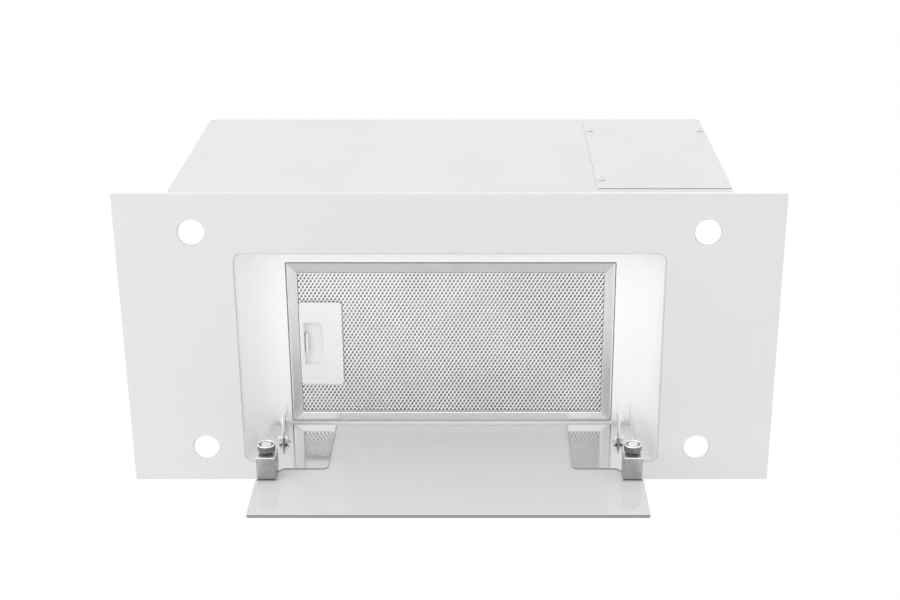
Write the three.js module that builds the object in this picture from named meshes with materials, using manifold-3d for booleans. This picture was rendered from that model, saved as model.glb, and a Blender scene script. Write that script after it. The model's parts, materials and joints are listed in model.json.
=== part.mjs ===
// Built-in cabinet extractor hood: a white glass fascia under a steel housing, with a coved filter
// tray, a hanging glass suction flap on two side hinges, four corner lamps, an aluminium grease
// filter with a sliding latch, and a double-inlet fan that blows up through a collar with dampers.
// Millimetres. +Z up, +X to the user's right, front of the hood at -Y. The origin is the centre of
// the mounting frame's upper face, which seats against the underside of the cabinet.
import * as THREE from "three";
import { mergeVertices } from "three/addons/utils/BufferGeometryUtils.js";
import Module from "manifold-3d";

const wasm = await Module();
wasm.setup();

// ---------------------------------------------------------------- driving dimensions
const FIT = 0.3; // gap between pieces that touch
const BITE = 0.5; // how far pieces of one solid run into each other
const OVER = 1; // how far a cutting shape runs past what it cuts
const ROUND_SEGMENTS = 24; // facets of a full circle, a multiple of 8
const SMALL_SEGMENTS = 16; // facets of a small round, such as a bolt
const HEX = 6;

const GLASS_WIDTH = 600;
const GLASS_DEPTH = 285;
const GLASS_THICK = 4;
const GLASS_CORNER = 2;

const FRAME_SHEET = 1.5;
const FRAME_INSET = 6; // the frame stops this far inside the glass edge
const SEAT_STEP = 0.4; // the seating border stands this far above the frame under the housing
const SEAT_MARGIN = 2; // housing wall to the seating border

const BOX_SIDE_SETBACK = 42.5; // glass edge to the housing's side walls
const BOX_END_SETBACK = 10; // glass edge to the housing's front and back walls
const BOX_HEIGHT = 279;
const BOX_SHEET = 1.2;
const BOX_FOOT = 8; // turned-in foot along the side walls

const OPENING_SIDE_MARGIN = 105;
const OPENING_FRONT_MARGIN = 56;
const OPENING_BACK_MARGIN = 19;
const OPENING_CORNER = 8;

const TRAY_SHEET = 1.2;
const TRAY_RIM_RISE = 1; // the tray's rim stops this far above the glass's lower face
const TRAY_DEPTH = 37; // glass's lower face up to the flat ledge
const TRAY_LIP = 6; // lip that rests on the mounting frame
const COVE_STEPS = 8; // facets of the cove
const COVE_START = 0.8; // height above the lip where the tray's coved wall begins
const LEDGE_LEAST = 3; // narrowest flat ledge between the cove and the filter's window
const SEAT_LIP = 5; // lip above the filter
const SEAT_GAP = 1; // filter's upper face to that lip
const WINDOW_CORNER = 1.5;

const LAMP_DIAMETER = 24;
const LAMP_SIDE_MARGIN = 69;
const LAMP_FRONT_MARGIN = 36.5;
const LAMP_BACK_MARGIN = 34;
const LAMP_RECESS = 1;
const LAMP_BODY_DIAMETER = 30;
const LAMP_BODY_HEIGHT = 13;
const LAMP_FLANGE = 2;
const LAMP_BARREL_SETBACK = 3; // flange edge to the finned barrel
const LAMP_FIN_PITCH = 8;
const LAMP_FIN_SLOT = 3;
const LAMP_FIN_LOW = 5; // flange's lower face to the fins' roots
const LENS_CROWN = 0.4; // how far the lens's middle bulges
const LENS_EDGE = 0.6; // height of the lens's rounded edge

const FILTER_SIDE_MARGIN = 42; // opening edge to the filter's edge
const FILTER_FRONT_MARGIN = 23;
const FILTER_BACK_MARGIN = 24;
const FILTER_THICK = 9;
const FILTER_BAR = 10; // width of the filter frame's face
const FILTER_SHEET = 1;
const MESH_SHEET = 0.8;
const FILTER_GAP = 0.5; // filter edge to the tray's window

const HANDLE_WIDTH = 40;
const HANDLE_LENGTH = 84;
const HANDLE_FROM_BAR = 0.4;
const HANDLE_SHEET = 1.5;
const HANDLE_PROUD = 0.5;
const POCKET_WIDTH = 18;
const POCKET_LENGTH = 43;
const POCKET_FROM_EDGE = 4;
const POCKET_DEPTH = 7;
const POCKET_WALL = 1.2;
const POCKET_CORNER = 7;
const HANDLE_CORNER = 3;
const LATCH_WIDTH = 14;
const LATCH_SHEET = 1.4;
const LATCH_ROOM = 1; // around the tongue and the tabs, in the tray's slots
const LATCH_LIP = 2; // thickness of the finger lip
const LATCH_LIP_SPREAD = 3; // the lip is this much wider than the tongue, each side
const LATCH_LIP_GAP = 1.4; // pocket's straight wall to the lip
const LATCH_LIP_LOW = 0.2; // filter's lower face to the lip's end
const LATCH_HEIGHT = 3.3; // filter's lower face to the latch tongue
const LATCH_REACH = 2.4; // tongue beyond the filter's edge
const TAB_WIDTH = 12; // fixed tabs on the filter's other edge
const TAB_SPACING = 90;

const FLAP_SIDE_GAP = 21; // opening edge to the closed flap's edge
const FLAP_END_GAP = 19.5;
const FLAP_THICK = 4;
const FLAP_CORNER = 2;
const FLAP_ARM = 13; // pivot axis to the flap glass's inner face
const FLAP_BACK = 15.5; // pivot axis to the flap's back edge
const FLAP_OPEN_ANGLE = Math.PI / 2; // the hood is stored with its flap hanging open

const HINGE_SIDE_GAP = 34.7; // opening edge to the fixed ear's outer face
const HINGE_SHEET = 1.2;
const EAR_SHEET = 1.5;
const EAR_RADIUS = 8;
const EAR_FOOT = 10;
const EAR_FOOT_BACK = 2; // the foot reaches this far behind the ear
const ARM_RADIUS = 7;
const CLAMP_RADIUS = 4;
const CLAMP_Y = -24; // clamp bolt from the pivot, flap closed
const CLAMP_Z = -7.5;
const BOLT_RADIUS = 2;
const BOLT_HEAD = 3.5;
const BOLT_HEAD_HIGH = 2.4;
const BOLT_END = 1; // thread that shows past a nut

const BRACKET_SHEET = 1;
const BRACKET_WIDTH = 61.7;
const BRACKET_EDGE = 1.3; // flap edge to the bracket's outer edge
const BRACKET_FRONT = 74; // pivot axis to the bracket's front edge, flap closed
const BRACKET_CORNER = 5;
const BRACKET_BACK = 1; // bracket's back edge inside the flap's back edge
const BRACKET_CHAMFER = 4;
const BRACKET_DROP = 5; // depth of the chamfer beside the block's arm
const LUG_MARGIN = 2; // lug's edge beyond the clamp washer's radius
const BLOCK_WIDTH = 17;
const BLOCK_LENGTH = 22;
const BLOCK_HEIGHT = 21.5;
const BLOCK_WALL = 2;
const MAGNET_DIAMETER = 16;
const MAGNET_HEIGHT = 7;
const MAGNET_NECK = 1.6;
const MAGNET_NECK_DIAMETER = 9;
const MAGNET_RIM = 1.5; // wall of the pot round the magnet
const MAGNET_SUNK = 0.8; // magnet's face below the pot's rim
const MAGNET_BORE = 4;

const COVER_WIDTH = 123;
const COVER_SHEET = 1;
const COVER_BOTTOM = 40;
const COVER_TOP_GAP = 3;
const COVER_LAP = 10;
const COVER_CORNER = 2;
const COVER_SCREW_DROP = 45; // cover's top edge to its upper screws
const COVER_SCREW_RISE = 24; // cover's bottom edge to its lower screw
const SCREW_RADIUS = 1.6;
const SCREW_HEAD = 3.6;
const SCREW_HEAD_HIGH = 1.8;
const SCREW_LENGTH = 7;
const SCREW_SLOT = 0.4; // half the width of the cross recess

const FIXING_HOLE_DIAMETER = 5;
const FIXING_HOLE_HEIGHT = 40;
const FIXING_HOLE_SPACING = 180;

const IMPELLER_RADIUS = 62;
const IMPELLER_WIDTH = 92;
const BLADE_COUNT = 24;
const BLADE_DEPTH = 12;
const BLADE_SHEET = 1.2;
const HUB_DISC = 2.5;
const HUB_RADIUS = 11;
const HUB_BACK = 4; // the boss reaches this far to the motor's side of the disc
const HUB_FRONT = 12;
const HOOP_WIDTH = 4; // the rings that tie the blades' ends
const HOOP_INSET = 1;
const HOOP_WALL = 3;
const BLADE_LEAN = 0.1; // radians that a blade leans back over its depth
const BLADE_BOW = 0.02; // radians at its middle
const SHAFT_RADIUS = 4;
const SCROLL_WIDTH = 110;
const SCROLL_WALL = 2;
const SCROLL_CLEARANCE = 5; // impeller to the scroll's tongue
const SCROLL_GROWTH = 21; // how much further out the scroll is at its throat
const SCROLL_TONGUE_ANGLE = 60; // degrees above the +Y direction
const SCROLL_LIP = 9;
const SCROLL_STEP = 12; // degrees between the spiral's points
const INLET_RADIUS = 50;
const MOTOR_RADIUS = 37;
const MOTOR_INSET = 6; // motor face to the hub disc
const MOTOR_CAP = 6; // length of the narrower end cap
const MOTOR_CAP_STEP = 5;
const MOTOR_TAIL = 4;
const MOTOR_TAIL_STEP = 8;
const SHAFT_END = 11; // shaft's end beyond the hub disc
const SPIDER_RING = 8; // width of the motor bracket's ring
const SPIDER_SHEET = 2.4;
const SPIDER_HUB = 20;
const SPIDER_ARM = 9;
const SPIDER_ARMS = 3;
const SPIDER_BORE = 6;
const FAN_ROOM_BACK = 130; // fan axis to the far side of the collar's flange
const FAN_ROOM_FRONT = 75; // fan axis to the scroll's front

const DUCT_DIAMETER = 120;
const COLLAR_WALL = 2;
const COLLAR_HEIGHT = 45;
const COLLAR_FLANGE = 140;
const COLLAR_CORNER = 12;
const COLLAR_FLANGE_THICK = 2;
const DAMPER_EDGE_GAP = 2; // collar's bore to a damper's rim
const DAMPER_MIDDLE_GAP = 0.8; // pin barrel to the half disc's straight edge
const DAMPER_WEB = 2; // how far a barrel's web runs under the half disc
const DAMPER_OUTER_BARREL = [18, 42]; // front flap's barrels, from and to, either side
const DAMPER_INNER_BARREL = 15; // rear flap's barrel, half its length
const DAMPER_SHEET = 1.5;
const DAMPER_PIN_RADIUS = 1.5;
const DAMPER_PIN_HEIGHT = 14; // above the collar's flange
const DAMPER_BARREL = 3;

const CABINET_WALL = 1.5; // walls of the electronics tray
const CABINET_DEPTH = 35;
const CABINET_HEIGHT = 150;
const CABINET_SIDE_GAP = 1; // inside the window that the cover closes
const CABINET_BOTTOM = 56;
const BOARD_THICK = 1.6;
const BOARD_STANDOFF = 6;
const BOARD_SIDE_GAP = 8; // tray's outer side to the board's edge
const BOARD_END_GAP = 12;
const POST_RADIUS = 3;
const POST_SIDE_GAP = 14;
const POST_END_GAP = 20;
const LED_DRIVER = { wide: 36, deep: 18, high: 40, side: 14, top: 18 }; // gaps from the tray's edges
const RELAY = { wide: 20, deep: 15, high: 26, side: 21, top: 28 };
const TERMINAL = { wide: 40, deep: 12, high: 16, side: 14, bottom: 20 };
const CAPACITOR = { radius: 9, high: 42, side: 26, bottom: 24 };
const GLAND_RADIUS = 10;
const GLAND_NECK_STEP = 2;
const GLAND_BORE = 4;
const GLAND_HEIGHT = 12;
const GLAND_BELOW = 5; // thread below the top panel
const GLAND_SIDE_MARGIN = 55;
const GLAND_BACK_MARGIN = 40;

// ---------------------------------------------------------------- places worked out from them
const GLASS_BOTTOM = -(FRAME_SHEET + FIT + GLASS_THICK);
const LEDGE = GLASS_BOTTOM + TRAY_DEPTH;
const HALF_GLASS = GLASS_WIDTH / 2;
const FRONT_EDGE = -GLASS_DEPTH / 2;
const BACK_EDGE = GLASS_DEPTH / 2;
const HALF_OPENING = HALF_GLASS - OPENING_SIDE_MARGIN;
const OPENING_FRONT = FRONT_EDGE + OPENING_FRONT_MARGIN;
const OPENING_BACK = BACK_EDGE - OPENING_BACK_MARGIN;
const HALF_BOX = HALF_GLASS - BOX_SIDE_SETBACK;
const BOX_FRONT = FRONT_EDGE + BOX_END_SETBACK;
const BOX_BACK = BACK_EDGE - BOX_END_SETBACK;
const HALF_FILTER = HALF_OPENING - FILTER_SIDE_MARGIN;
const FILTER_FRONT = OPENING_FRONT + FILTER_FRONT_MARGIN;
const FILTER_BACK = OPENING_BACK - FILTER_BACK_MARGIN;
const FILTER_TOP = LEDGE + FILTER_THICK;
const TRAY_RIM = FIT + TRAY_SHEET; // opening edge to the tray's inner face
const TRAY_COVE = Math.min(FILTER_SIDE_MARGIN, FILTER_FRONT_MARGIN, FILTER_BACK_MARGIN)
  - FILTER_GAP - LEDGE_LEAST - TRAY_RIM; // width of the coved wall
const HALF_FLAP = HALF_OPENING - FLAP_SIDE_GAP;
const PIVOT_Y = OPENING_BACK - FLAP_END_GAP - FLAP_BACK;
const PIVOT_Z = GLASS_BOTTOM + FLAP_THICK + FLAP_ARM;
const FAN_Y = (BOX_FRONT + BOX_BACK + FAN_ROOM_FRONT - FAN_ROOM_BACK) / 2;
const FAN_Z = (FILTER_TOP + BOX_HEIGHT) / 2;
const TONGUE_RADIUS = IMPELLER_RADIUS + SCROLL_CLEARANCE;
const THROAT_RADIUS = TONGUE_RADIUS + SCROLL_GROWTH;
const TONGUE_Y = TONGUE_RADIUS * Math.cos(THREE.MathUtils.degToRad(SCROLL_TONGUE_ANGLE));
const COLLAR_Y = FAN_Y + (TONGUE_Y + THROAT_RADIUS) / 2;

// ---------------------------------------------------------------- finishes
function finish(color, roughness, metalness) {
  return new THREE.MeshStandardMaterial({ color, roughness, metalness });
}
const FINISH = {
  whiteGlass: finish(0xeeefef, 0.06, 0),
  whiteEnamel: finish(0xf1f1f0, 0.35, 0),
  whitePlastic: finish(0xefefec, 0.45, 0),
  greyPlastic: finish(0x6b6e70, 0.5, 0),
  blackPlastic: finish(0x26272a, 0.5, 0),
  zincSteel: finish(0xb9bdc0, 0.4, 1),
  polishedSteel: finish(0xd5d7d8, 0.08, 1),
  brushedSteel: finish(0xa9abac, 0.35, 1),
  aluminium: finish(0xc9cacb, 0.3, 1),
  lampGlow: finish(0xffffff, 0.3, 0),
  boardGreen: finish(0x2c6b47, 0.6, 0),
};

// ---------------------------------------------------------------- shapes and solids
function solidOf(geometry) {
  const bare = geometry.index ? geometry.toNonIndexed() : geometry.clone();
  bare.deleteAttribute("normal");
  bare.deleteAttribute("uv");
  const merged = mergeVertices(bare, 1e-4);
  return new wasm.Manifold(
    new wasm.Mesh({
      numProp: 3,
      vertProperties: merged.attributes.position.array,
      triVerts: new Uint32Array(merged.index.array),
    }),
  );
}

function geometryOf(solid) {
  const mesh = solid.getMesh();
  const geometry = new THREE.BufferGeometry();
  geometry.setAttribute("position", new THREE.BufferAttribute(mesh.vertProperties, mesh.numProp));
  geometry.setIndex(new THREE.BufferAttribute(mesh.triVerts, 1));
  const faceted = geometry.toNonIndexed();
  faceted.computeVertexNormals();
  return faceted;
}

function join(first, ...rest) {
  return rest.reduce((whole, piece) => whole.add(piece), first);
}

function cut(first, ...rest) {
  return rest.reduce((whole, piece) => whole.subtract(piece), first);
}

function block(x0, x1, y0, y1, z0, z1) {
  const geometry = new THREE.BoxGeometry(Math.abs(x1 - x0), Math.abs(y1 - y0), Math.abs(z1 - z0));
  return solidOf(geometry.translate((x0 + x1) / 2, (y0 + y1) / 2, (z0 + z1) / 2));
}

// An outline pushed along an axis. Its own two directions are XY for "z", YZ for "x", XZ for "y".
function prism(shape, axis, from, to) {
  const low = Math.min(from, to);
  const high = Math.max(from, to);
  const geometry = new THREE.ExtrudeGeometry(shape, {
    depth: high - low,
    bevelEnabled: false,
    curveSegments: ROUND_SEGMENTS / 8, // an arc is drawn with twice this many
  });
  if (axis === "z") return solidOf(geometry.translate(0, 0, low));
  const turn = new THREE.Matrix4();
  if (axis === "x") {
    turn.makeBasis(vector(0, 1, 0), vector(0, 0, 1), vector(1, 0, 0));
    return solidOf(geometry.applyMatrix4(turn).translate(low, 0, 0));
  }
  turn.makeBasis(vector(1, 0, 0), vector(0, 0, 1), vector(0, -1, 0));
  return solidOf(geometry.applyMatrix4(turn).translate(0, high, 0));
}

function vector(x, y, z) {
  return new THREE.Vector3(x, y, z);
}

// A round or many-sided bar along an axis; a and b are its centre's other two coordinates.
function rod(axis, radius, from, to, a = 0, b = 0, sides = ROUND_SEGMENTS) {
  const length = Math.abs(to - from);
  const middle = (from + to) / 2;
  const geometry = new THREE.CylinderGeometry(radius, radius, length, sides);
  if (axis === "x") return solidOf(geometry.rotateZ(Math.PI / 2).translate(middle, a, b));
  if (axis === "y") return solidOf(geometry.translate(a, middle, b));
  return solidOf(geometry.rotateX(Math.PI / 2).translate(a, b, middle));
}

function roundedRect(x0, x1, y0, y1, radius) {
  const shape = new THREE.Shape();
  shape.moveTo(x0 + radius, y0);
  shape.lineTo(x1 - radius, y0);
  shape.absarc(x1 - radius, y0 + radius, radius, -Math.PI / 2, 0);
  shape.lineTo(x1, y1 - radius);
  shape.absarc(x1 - radius, y1 - radius, radius, 0, Math.PI / 2);
  shape.lineTo(x0 + radius, y1);
  shape.absarc(x0 + radius, y1 - radius, radius, Math.PI / 2, Math.PI);
  shape.lineTo(x0, y0 + radius);
  shape.absarc(x0 + radius, y0 + radius, radius, Math.PI, 1.5 * Math.PI);
  return shape;
}

function roundHole(x, y, radius) {
  const hole = new THREE.Path();
  for (let quarter = 0; quarter < 4; quarter++) {
    hole.absarc(x, y, radius, (quarter * Math.PI) / 2, ((quarter + 1) * Math.PI) / 2);
  }
  return hole;
}

// Two circles wrapped in one outline, as on a link plate.
function linkOutline(y0, z0, radius0, y1, z1, radius1) {
  const lean = Math.atan2(z1 - z0, y1 - y0);
  const wrap = Math.acos((radius0 - radius1) / Math.hypot(y1 - y0, z1 - z0));
  const shape = new THREE.Shape();
  shape.absarc(y0, z0, radius0, lean + wrap, lean - wrap + 2 * Math.PI);
  shape.absarc(y1, z1, radius1, lean - wrap, lean + wrap);
  return shape;
}

// A closed tube of sheet: each ring is a rounded rectangle, and the last ring meets the first.
function sheetRing(stations) {
  const rings = stations.map(({ x, front, back, z, radius }) =>
    cornerPoints(radius, x, front, back).map(([px, py]) => vector(px, py, z)),
  );
  const count = rings[0].length;
  const positions = rings.flat().flatMap((point) => [point.x, point.y, point.z]);
  const index = [];
  rings.forEach((_, ring) => {
    const next = (ring + 1) % rings.length;
    for (let i = 0; i < count; i++) {
      const j = (i + 1) % count;
      const [a, b] = [ring * count + i, ring * count + j];
      const [c, d] = [next * count + i, next * count + j];
      index.push(a, d, b, a, c, d);
    }
  });
  const geometry = new THREE.BufferGeometry();
  geometry.setAttribute("position", new THREE.Float32BufferAttribute(positions, 3));
  geometry.setIndex(index);
  return solidOf(geometry);
}

// The same number of points round every ring, whatever its corner radius.
function cornerPoints(radius, x, front, back) {
  const steps = ROUND_SEGMENTS / 4;
  const centres = [
    [x - radius, front + radius],
    [x - radius, back - radius],
    [radius - x, back - radius],
    [radius - x, front + radius],
  ];
  return centres.flatMap(([cx, cy], corner) =>
    Array.from({ length: steps + 1 }, (_, i) => {
      const angle = (corner - 1 + i / steps) * (Math.PI / 2);
      return [cx + radius * Math.cos(angle), cy + radius * Math.sin(angle)];
    }),
  );
}

function hexBolt(x0, x1, y, z, side) {
  const shank = rod("x", BOLT_RADIUS, x0, x1 + side * BITE, y, z, SMALL_SEGMENTS);
  const head = rod("x", BOLT_HEAD, x1, x1 + side * BOLT_HEAD_HIGH, y, z, HEX);
  return join(shank, head);
}

const hood = new THREE.Group();

function place(parent, name, solid, material) {
  const mesh = new THREE.Mesh(geometryOf(solid), material);
  mesh.name = name;
  parent.add(mesh);
}

function group(parent, x, y, z) {
  const made = new THREE.Group();
  made.position.set(x, y, z);
  parent.add(made);
  return made;
}

const SIDES = [
  ["left", -1],
  ["right", 1],
];

// ---------------------------------------------------------------- fascia and housing
const LAMPS = [
  ["front_left", LAMP_SIDE_MARGIN - HALF_GLASS, FRONT_EDGE + LAMP_FRONT_MARGIN],
  ["front_right", HALF_GLASS - LAMP_SIDE_MARGIN, FRONT_EDGE + LAMP_FRONT_MARGIN],
  ["back_left", LAMP_SIDE_MARGIN - HALF_GLASS, BACK_EDGE - LAMP_BACK_MARGIN],
  ["back_right", HALF_GLASS - LAMP_SIDE_MARGIN, BACK_EDGE - LAMP_BACK_MARGIN],
];

function fasciaOutline(inset, corner) {
  const shape = roundedRect(
    inset - HALF_GLASS,
    HALF_GLASS - inset,
    FRONT_EDGE + inset,
    BACK_EDGE - inset,
    corner,
  );
  shape.holes.push(
    roundedRect(-HALF_OPENING, HALF_OPENING, OPENING_FRONT, OPENING_BACK, OPENING_CORNER),
  );
  for (const [, x, y] of LAMPS) shape.holes.push(roundHole(x, y, LAMP_DIAMETER / 2 + FIT));
  return shape;
}

function glassPlate() {
  return prism(fasciaOutline(0, GLASS_CORNER), "z", GLASS_BOTTOM, GLASS_BOTTOM + GLASS_THICK);
}

// The border that seats on the cabinet stands a step above the sheet under the housing.
function mountingFrame() {
  const x = HALF_BOX + SEAT_MARGIN;
  const sheet = prism(fasciaOutline(FRAME_INSET, GLASS_CORNER), "z", -FRAME_SHEET, 0);
  return cut(sheet, block(-x, x, BOX_FRONT - SEAT_MARGIN, BOX_BACK + SEAT_MARGIN, -SEAT_STEP, OVER));
}

function coverEdges() {
  return { x0: HALF_BOX - COVER_WIDTH, x1: HALF_BOX, z0: COVER_BOTTOM, z1: BOX_HEIGHT - COVER_TOP_GAP };
}

function coverScrewPlaces() {
  const { x0, x1, z0, z1 } = coverEdges();
  const inset = COVER_LAP / 2;
  return [
    [x0 + inset, z1 - COVER_SCREW_DROP],
    [x0 + inset, z0 + COVER_SCREW_RISE],
    [x1 - inset, z1 - COVER_SCREW_DROP],
  ];
}

function housingShell() {
  const top = BOX_HEIGHT - BOX_SHEET - FIT;
  const outer = block(-HALF_BOX, HALF_BOX, BOX_FRONT, BOX_BACK, FIT, top);
  const innerX = HALF_BOX - BOX_SHEET;
  const front = BOX_FRONT + BOX_SHEET;
  const back = BOX_BACK - BOX_SHEET;
  const feet = block(BOX_FOOT - innerX, innerX - BOX_FOOT, front, back, -OVER, BOX_SHEET + 2 * FIT);
  const room = block(-innerX, innerX, front, back, BOX_SHEET + FIT, top + OVER);
  const { x0, x1, z0, z1 } = coverEdges();
  const window = block(
    x0 + COVER_LAP,
    x1 - COVER_LAP,
    BOX_FRONT - OVER,
    front + OVER,
    z0 + COVER_LAP,
    z1 - COVER_LAP,
  );
  const screwHoles = coverScrewPlaces().map(([x, z]) =>
    rod("y", SCREW_RADIUS + FIT, BOX_FRONT - OVER, front + OVER, x, z, SMALL_SEGMENTS),
  );
  const fixings = [-1, 1].map((end) =>
    rod(
      "x",
      FIXING_HOLE_DIAMETER / 2,
      -HALF_BOX - OVER,
      HALF_BOX + OVER,
      (end * FIXING_HOLE_SPACING) / 2,
      FIXING_HOLE_HEIGHT,
      SMALL_SEGMENTS,
    ),
  );
  return cut(outer, feet, room, window, ...screwHoles, ...fixings);
}

function glandPlace() {
  return [HALF_BOX - GLAND_SIDE_MARGIN, BOX_BACK - GLAND_BACK_MARGIN];
}

function topPanel() {
  const shape = roundedRect(-HALF_BOX, HALF_BOX, BOX_FRONT, BOX_BACK, BOX_SHEET);
  shape.holes.push(
    roundHole(0, COLLAR_Y, DUCT_DIAMETER / 2 - COLLAR_WALL),
    roundHole(...glandPlace(), GLAND_RADIUS - GLAND_NECK_STEP + FIT),
  );
  return prism(shape, "z", BOX_HEIGHT - BOX_SHEET, BOX_HEIGHT);
}

function electronicsCover() {
  const { x0, x1, z0, z1 } = coverEdges();
  const face = BOX_FRONT - FIT;
  const holes = coverScrewPlaces().map(([x, z]) =>
    rod("y", SCREW_RADIUS + FIT, face - COVER_SHEET - OVER, face + OVER, x, z, SMALL_SEGMENTS),
  );
  const sheet = prism(roundedRect(x0, x1, z0, z1, COVER_CORNER), "y", face - COVER_SHEET, face);
  return cut(sheet, ...holes);
}

function coverScrew() {
  const shank = rod("y", SCREW_RADIUS, -BITE, SCREW_LENGTH, 0, 0, SMALL_SEGMENTS);
  const head = rod("y", SCREW_HEAD, -SCREW_HEAD_HIGH, 0, 0, 0, SMALL_SEGMENTS);
  const reach = SCREW_HEAD * 0.6;
  const [low, deep] = [-SCREW_HEAD_HIGH - OVER, -SCREW_HEAD_HIGH / 2];
  const slot = block(-reach, reach, low, deep, -SCREW_SLOT, SCREW_SLOT);
  const cross = block(-SCREW_SLOT, SCREW_SLOT, low, deep, -reach, reach);
  return cut(join(shank, head), slot, cross);
}

place(hood, "glass_plate", glassPlate(), FINISH.whiteGlass);
place(hood, "mounting_frame", mountingFrame(), FINISH.zincSteel);
place(hood, "housing_shell", housingShell(), FINISH.whiteEnamel);
place(hood, "top_panel", topPanel(), FINISH.whiteEnamel);
place(hood, "electronics_cover", electronicsCover(), FINISH.whiteEnamel);
coverScrewPlaces().forEach(([x, z], i) => {
  const seat = group(hood, x, BOX_FRONT - 2 * FIT - COVER_SHEET, z);
  place(seat, `cover_screw_${i + 1}`, coverScrew(), FINISH.brushedSteel);
});

// ---------------------------------------------------------------- filter tray
function trayStation(inset, z, radius) {
  return {
    x: HALF_OPENING - inset,
    front: OPENING_FRONT + inset,
    back: OPENING_BACK - inset,
    z,
    radius: Math.max(radius, BITE),
  };
}

function windowStation(spread, z) {
  return {
    x: HALF_FILTER + FILTER_GAP + spread,
    front: FILTER_FRONT - FILTER_GAP - spread,
    back: FILTER_BACK + FILTER_GAP + spread,
    z,
    radius: WINDOW_CORNER,
  };
}

// The coved wall, from the rim up to the ledge; grow moves it to the sheet's hidden side.
function coveStations(grow) {
  const start = FIT + TRAY_SHEET + COVE_START;
  const rise = LEDGE - start + grow;
  return Array.from({ length: COVE_STEPS + 1 }, (_, i) => {
    const angle = (i / COVE_STEPS) * (Math.PI / 2);
    const reach = TRAY_COVE * (1 - Math.cos(angle));
    const corner = OPENING_CORNER - TRAY_RIM + reach / 2 + grow;
    return trayStation(TRAY_RIM + reach - grow * Math.cos(angle), start + rise * Math.sin(angle), corner);
  });
}

function filterTray() {
  const bottom = GLASS_BOTTOM + TRAY_RIM_RISE;
  const corner = OPENING_CORNER - TRAY_RIM;
  const seatTop = FILTER_TOP + SEAT_GAP;
  const stations = [
    trayStation(TRAY_RIM, bottom, corner),
    ...coveStations(0),
    windowStation(0, LEDGE),
    windowStation(0, seatTop),
    windowStation(-SEAT_LIP, seatTop),
    windowStation(-SEAT_LIP, seatTop + TRAY_SHEET),
    windowStation(TRAY_SHEET, seatTop + TRAY_SHEET),
    windowStation(TRAY_SHEET, LEDGE + TRAY_SHEET),
    ...coveStations(TRAY_SHEET).reverse(),
    trayStation(FIT, FIT + TRAY_SHEET, corner + TRAY_SHEET),
    trayStation(-TRAY_LIP, FIT + TRAY_SHEET, corner + TRAY_LIP),
    trayStation(-TRAY_LIP, FIT, corner + TRAY_LIP),
    trayStation(FIT, FIT, corner + TRAY_SHEET),
    trayStation(FIT, bottom, corner + TRAY_SHEET),
  ];
  const wallIn = HALF_FILTER - OVER;
  const wallOut = HALF_FILTER + FILTER_GAP + TRAY_SHEET + OVER;
  const middle = (FILTER_FRONT + FILTER_BACK) / 2;
  const z0 = LEDGE + LATCH_HEIGHT - LATCH_ROOM;
  const z1 = LEDGE + LATCH_HEIGHT + LATCH_SHEET + LATCH_ROOM;
  const latchHalf = LATCH_WIDTH / 2 + LATCH_ROOM;
  const latchSlot = block(-wallOut, -wallIn, middle - latchHalf, middle + latchHalf, z0, z1);
  const tabHalf = TAB_WIDTH / 2 + LATCH_ROOM;
  const tabSlots = [-1, 1].map((end) => {
    const y = middle + (end * TAB_SPACING) / 2;
    return block(wallIn, wallOut, y - tabHalf, y + tabHalf, z0, z1);
  });
  return cut(sheetRing(stations), latchSlot, ...tabSlots);
}

place(hood, "filter_tray", filterTray(), FINISH.whiteEnamel);

// ---------------------------------------------------------------- lamps
function lampLens() {
  const low = GLASS_BOTTOM + LAMP_RECESS;
  const radius = LAMP_DIAMETER / 2;
  const profile = [
    [0, low - LENS_CROWN],
    [radius - 2 * LAMP_RECESS, low],
    [radius, low + LENS_EDGE],
    [radius, FIT],
    [0, FIT],
  ];
  const points = profile.map(([r, z]) => new THREE.Vector2(r, z));
  return solidOf(new THREE.LatheGeometry(points, ROUND_SEGMENTS).rotateX(Math.PI / 2));
}

function lampBody() {
  const low = 2 * FIT;
  const radius = LAMP_BODY_DIAMETER / 2;
  const flange = rod("z", radius, low, low + LAMP_FLANGE);
  const barrel = rod("z", radius - LAMP_BARREL_SETBACK, low + BITE, LAMP_BODY_HEIGHT);
  const half = LAMP_FIN_SLOT / 2;
  const slots = [-LAMP_FIN_PITCH, 0, LAMP_FIN_PITCH].map((x) =>
    block(x - half, x + half, -radius, radius, low + LAMP_FIN_LOW, LAMP_BODY_HEIGHT + OVER),
  );
  return cut(join(flange, barrel), ...slots);
}

for (const [corner, x, y] of LAMPS) {
  const lamp = group(hood, x, y, 0);
  place(lamp, `lamp_lens_${corner}`, lampLens(), FINISH.lampGlow);
  place(lamp, `lamp_body_${corner}`, lampBody(), FINISH.aluminium);
}

// ---------------------------------------------------------------- grease filter
// Built about the centre of the filter's lower face.
const HALF_FILTER_DEPTH = (FILTER_BACK - FILTER_FRONT) / 2;
const PACK_LOW = FILTER_SHEET + FIT;
const PACK_HIGH = FILTER_THICK - FILTER_SHEET - FIT;
const HANDLE_X0 = -HALF_FILTER + FILTER_BAR + HANDLE_FROM_BAR;
const HANDLE_X1 = HANDLE_X0 + HANDLE_WIDTH;
const POCKET_X0 = HANDLE_X0 + POCKET_FROM_EDGE;
const POCKET_X1 = POCKET_X0 + POCKET_WIDTH;

function filterSheet(inset, z0, z1) {
  const x = HALF_FILTER - inset;
  const y = HALF_FILTER_DEPTH - inset;
  return block(-x, x, -y, y, z0, z1);
}

function latchChannel(room) {
  const half = LATCH_WIDTH / 2 + room;
  const [low, high] = [LATCH_HEIGHT - room, LATCH_HEIGHT + LATCH_SHEET + room];
  return block(-HALF_FILTER - OVER, POCKET_X0 + OVER, -half, half, low, high);
}

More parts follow.
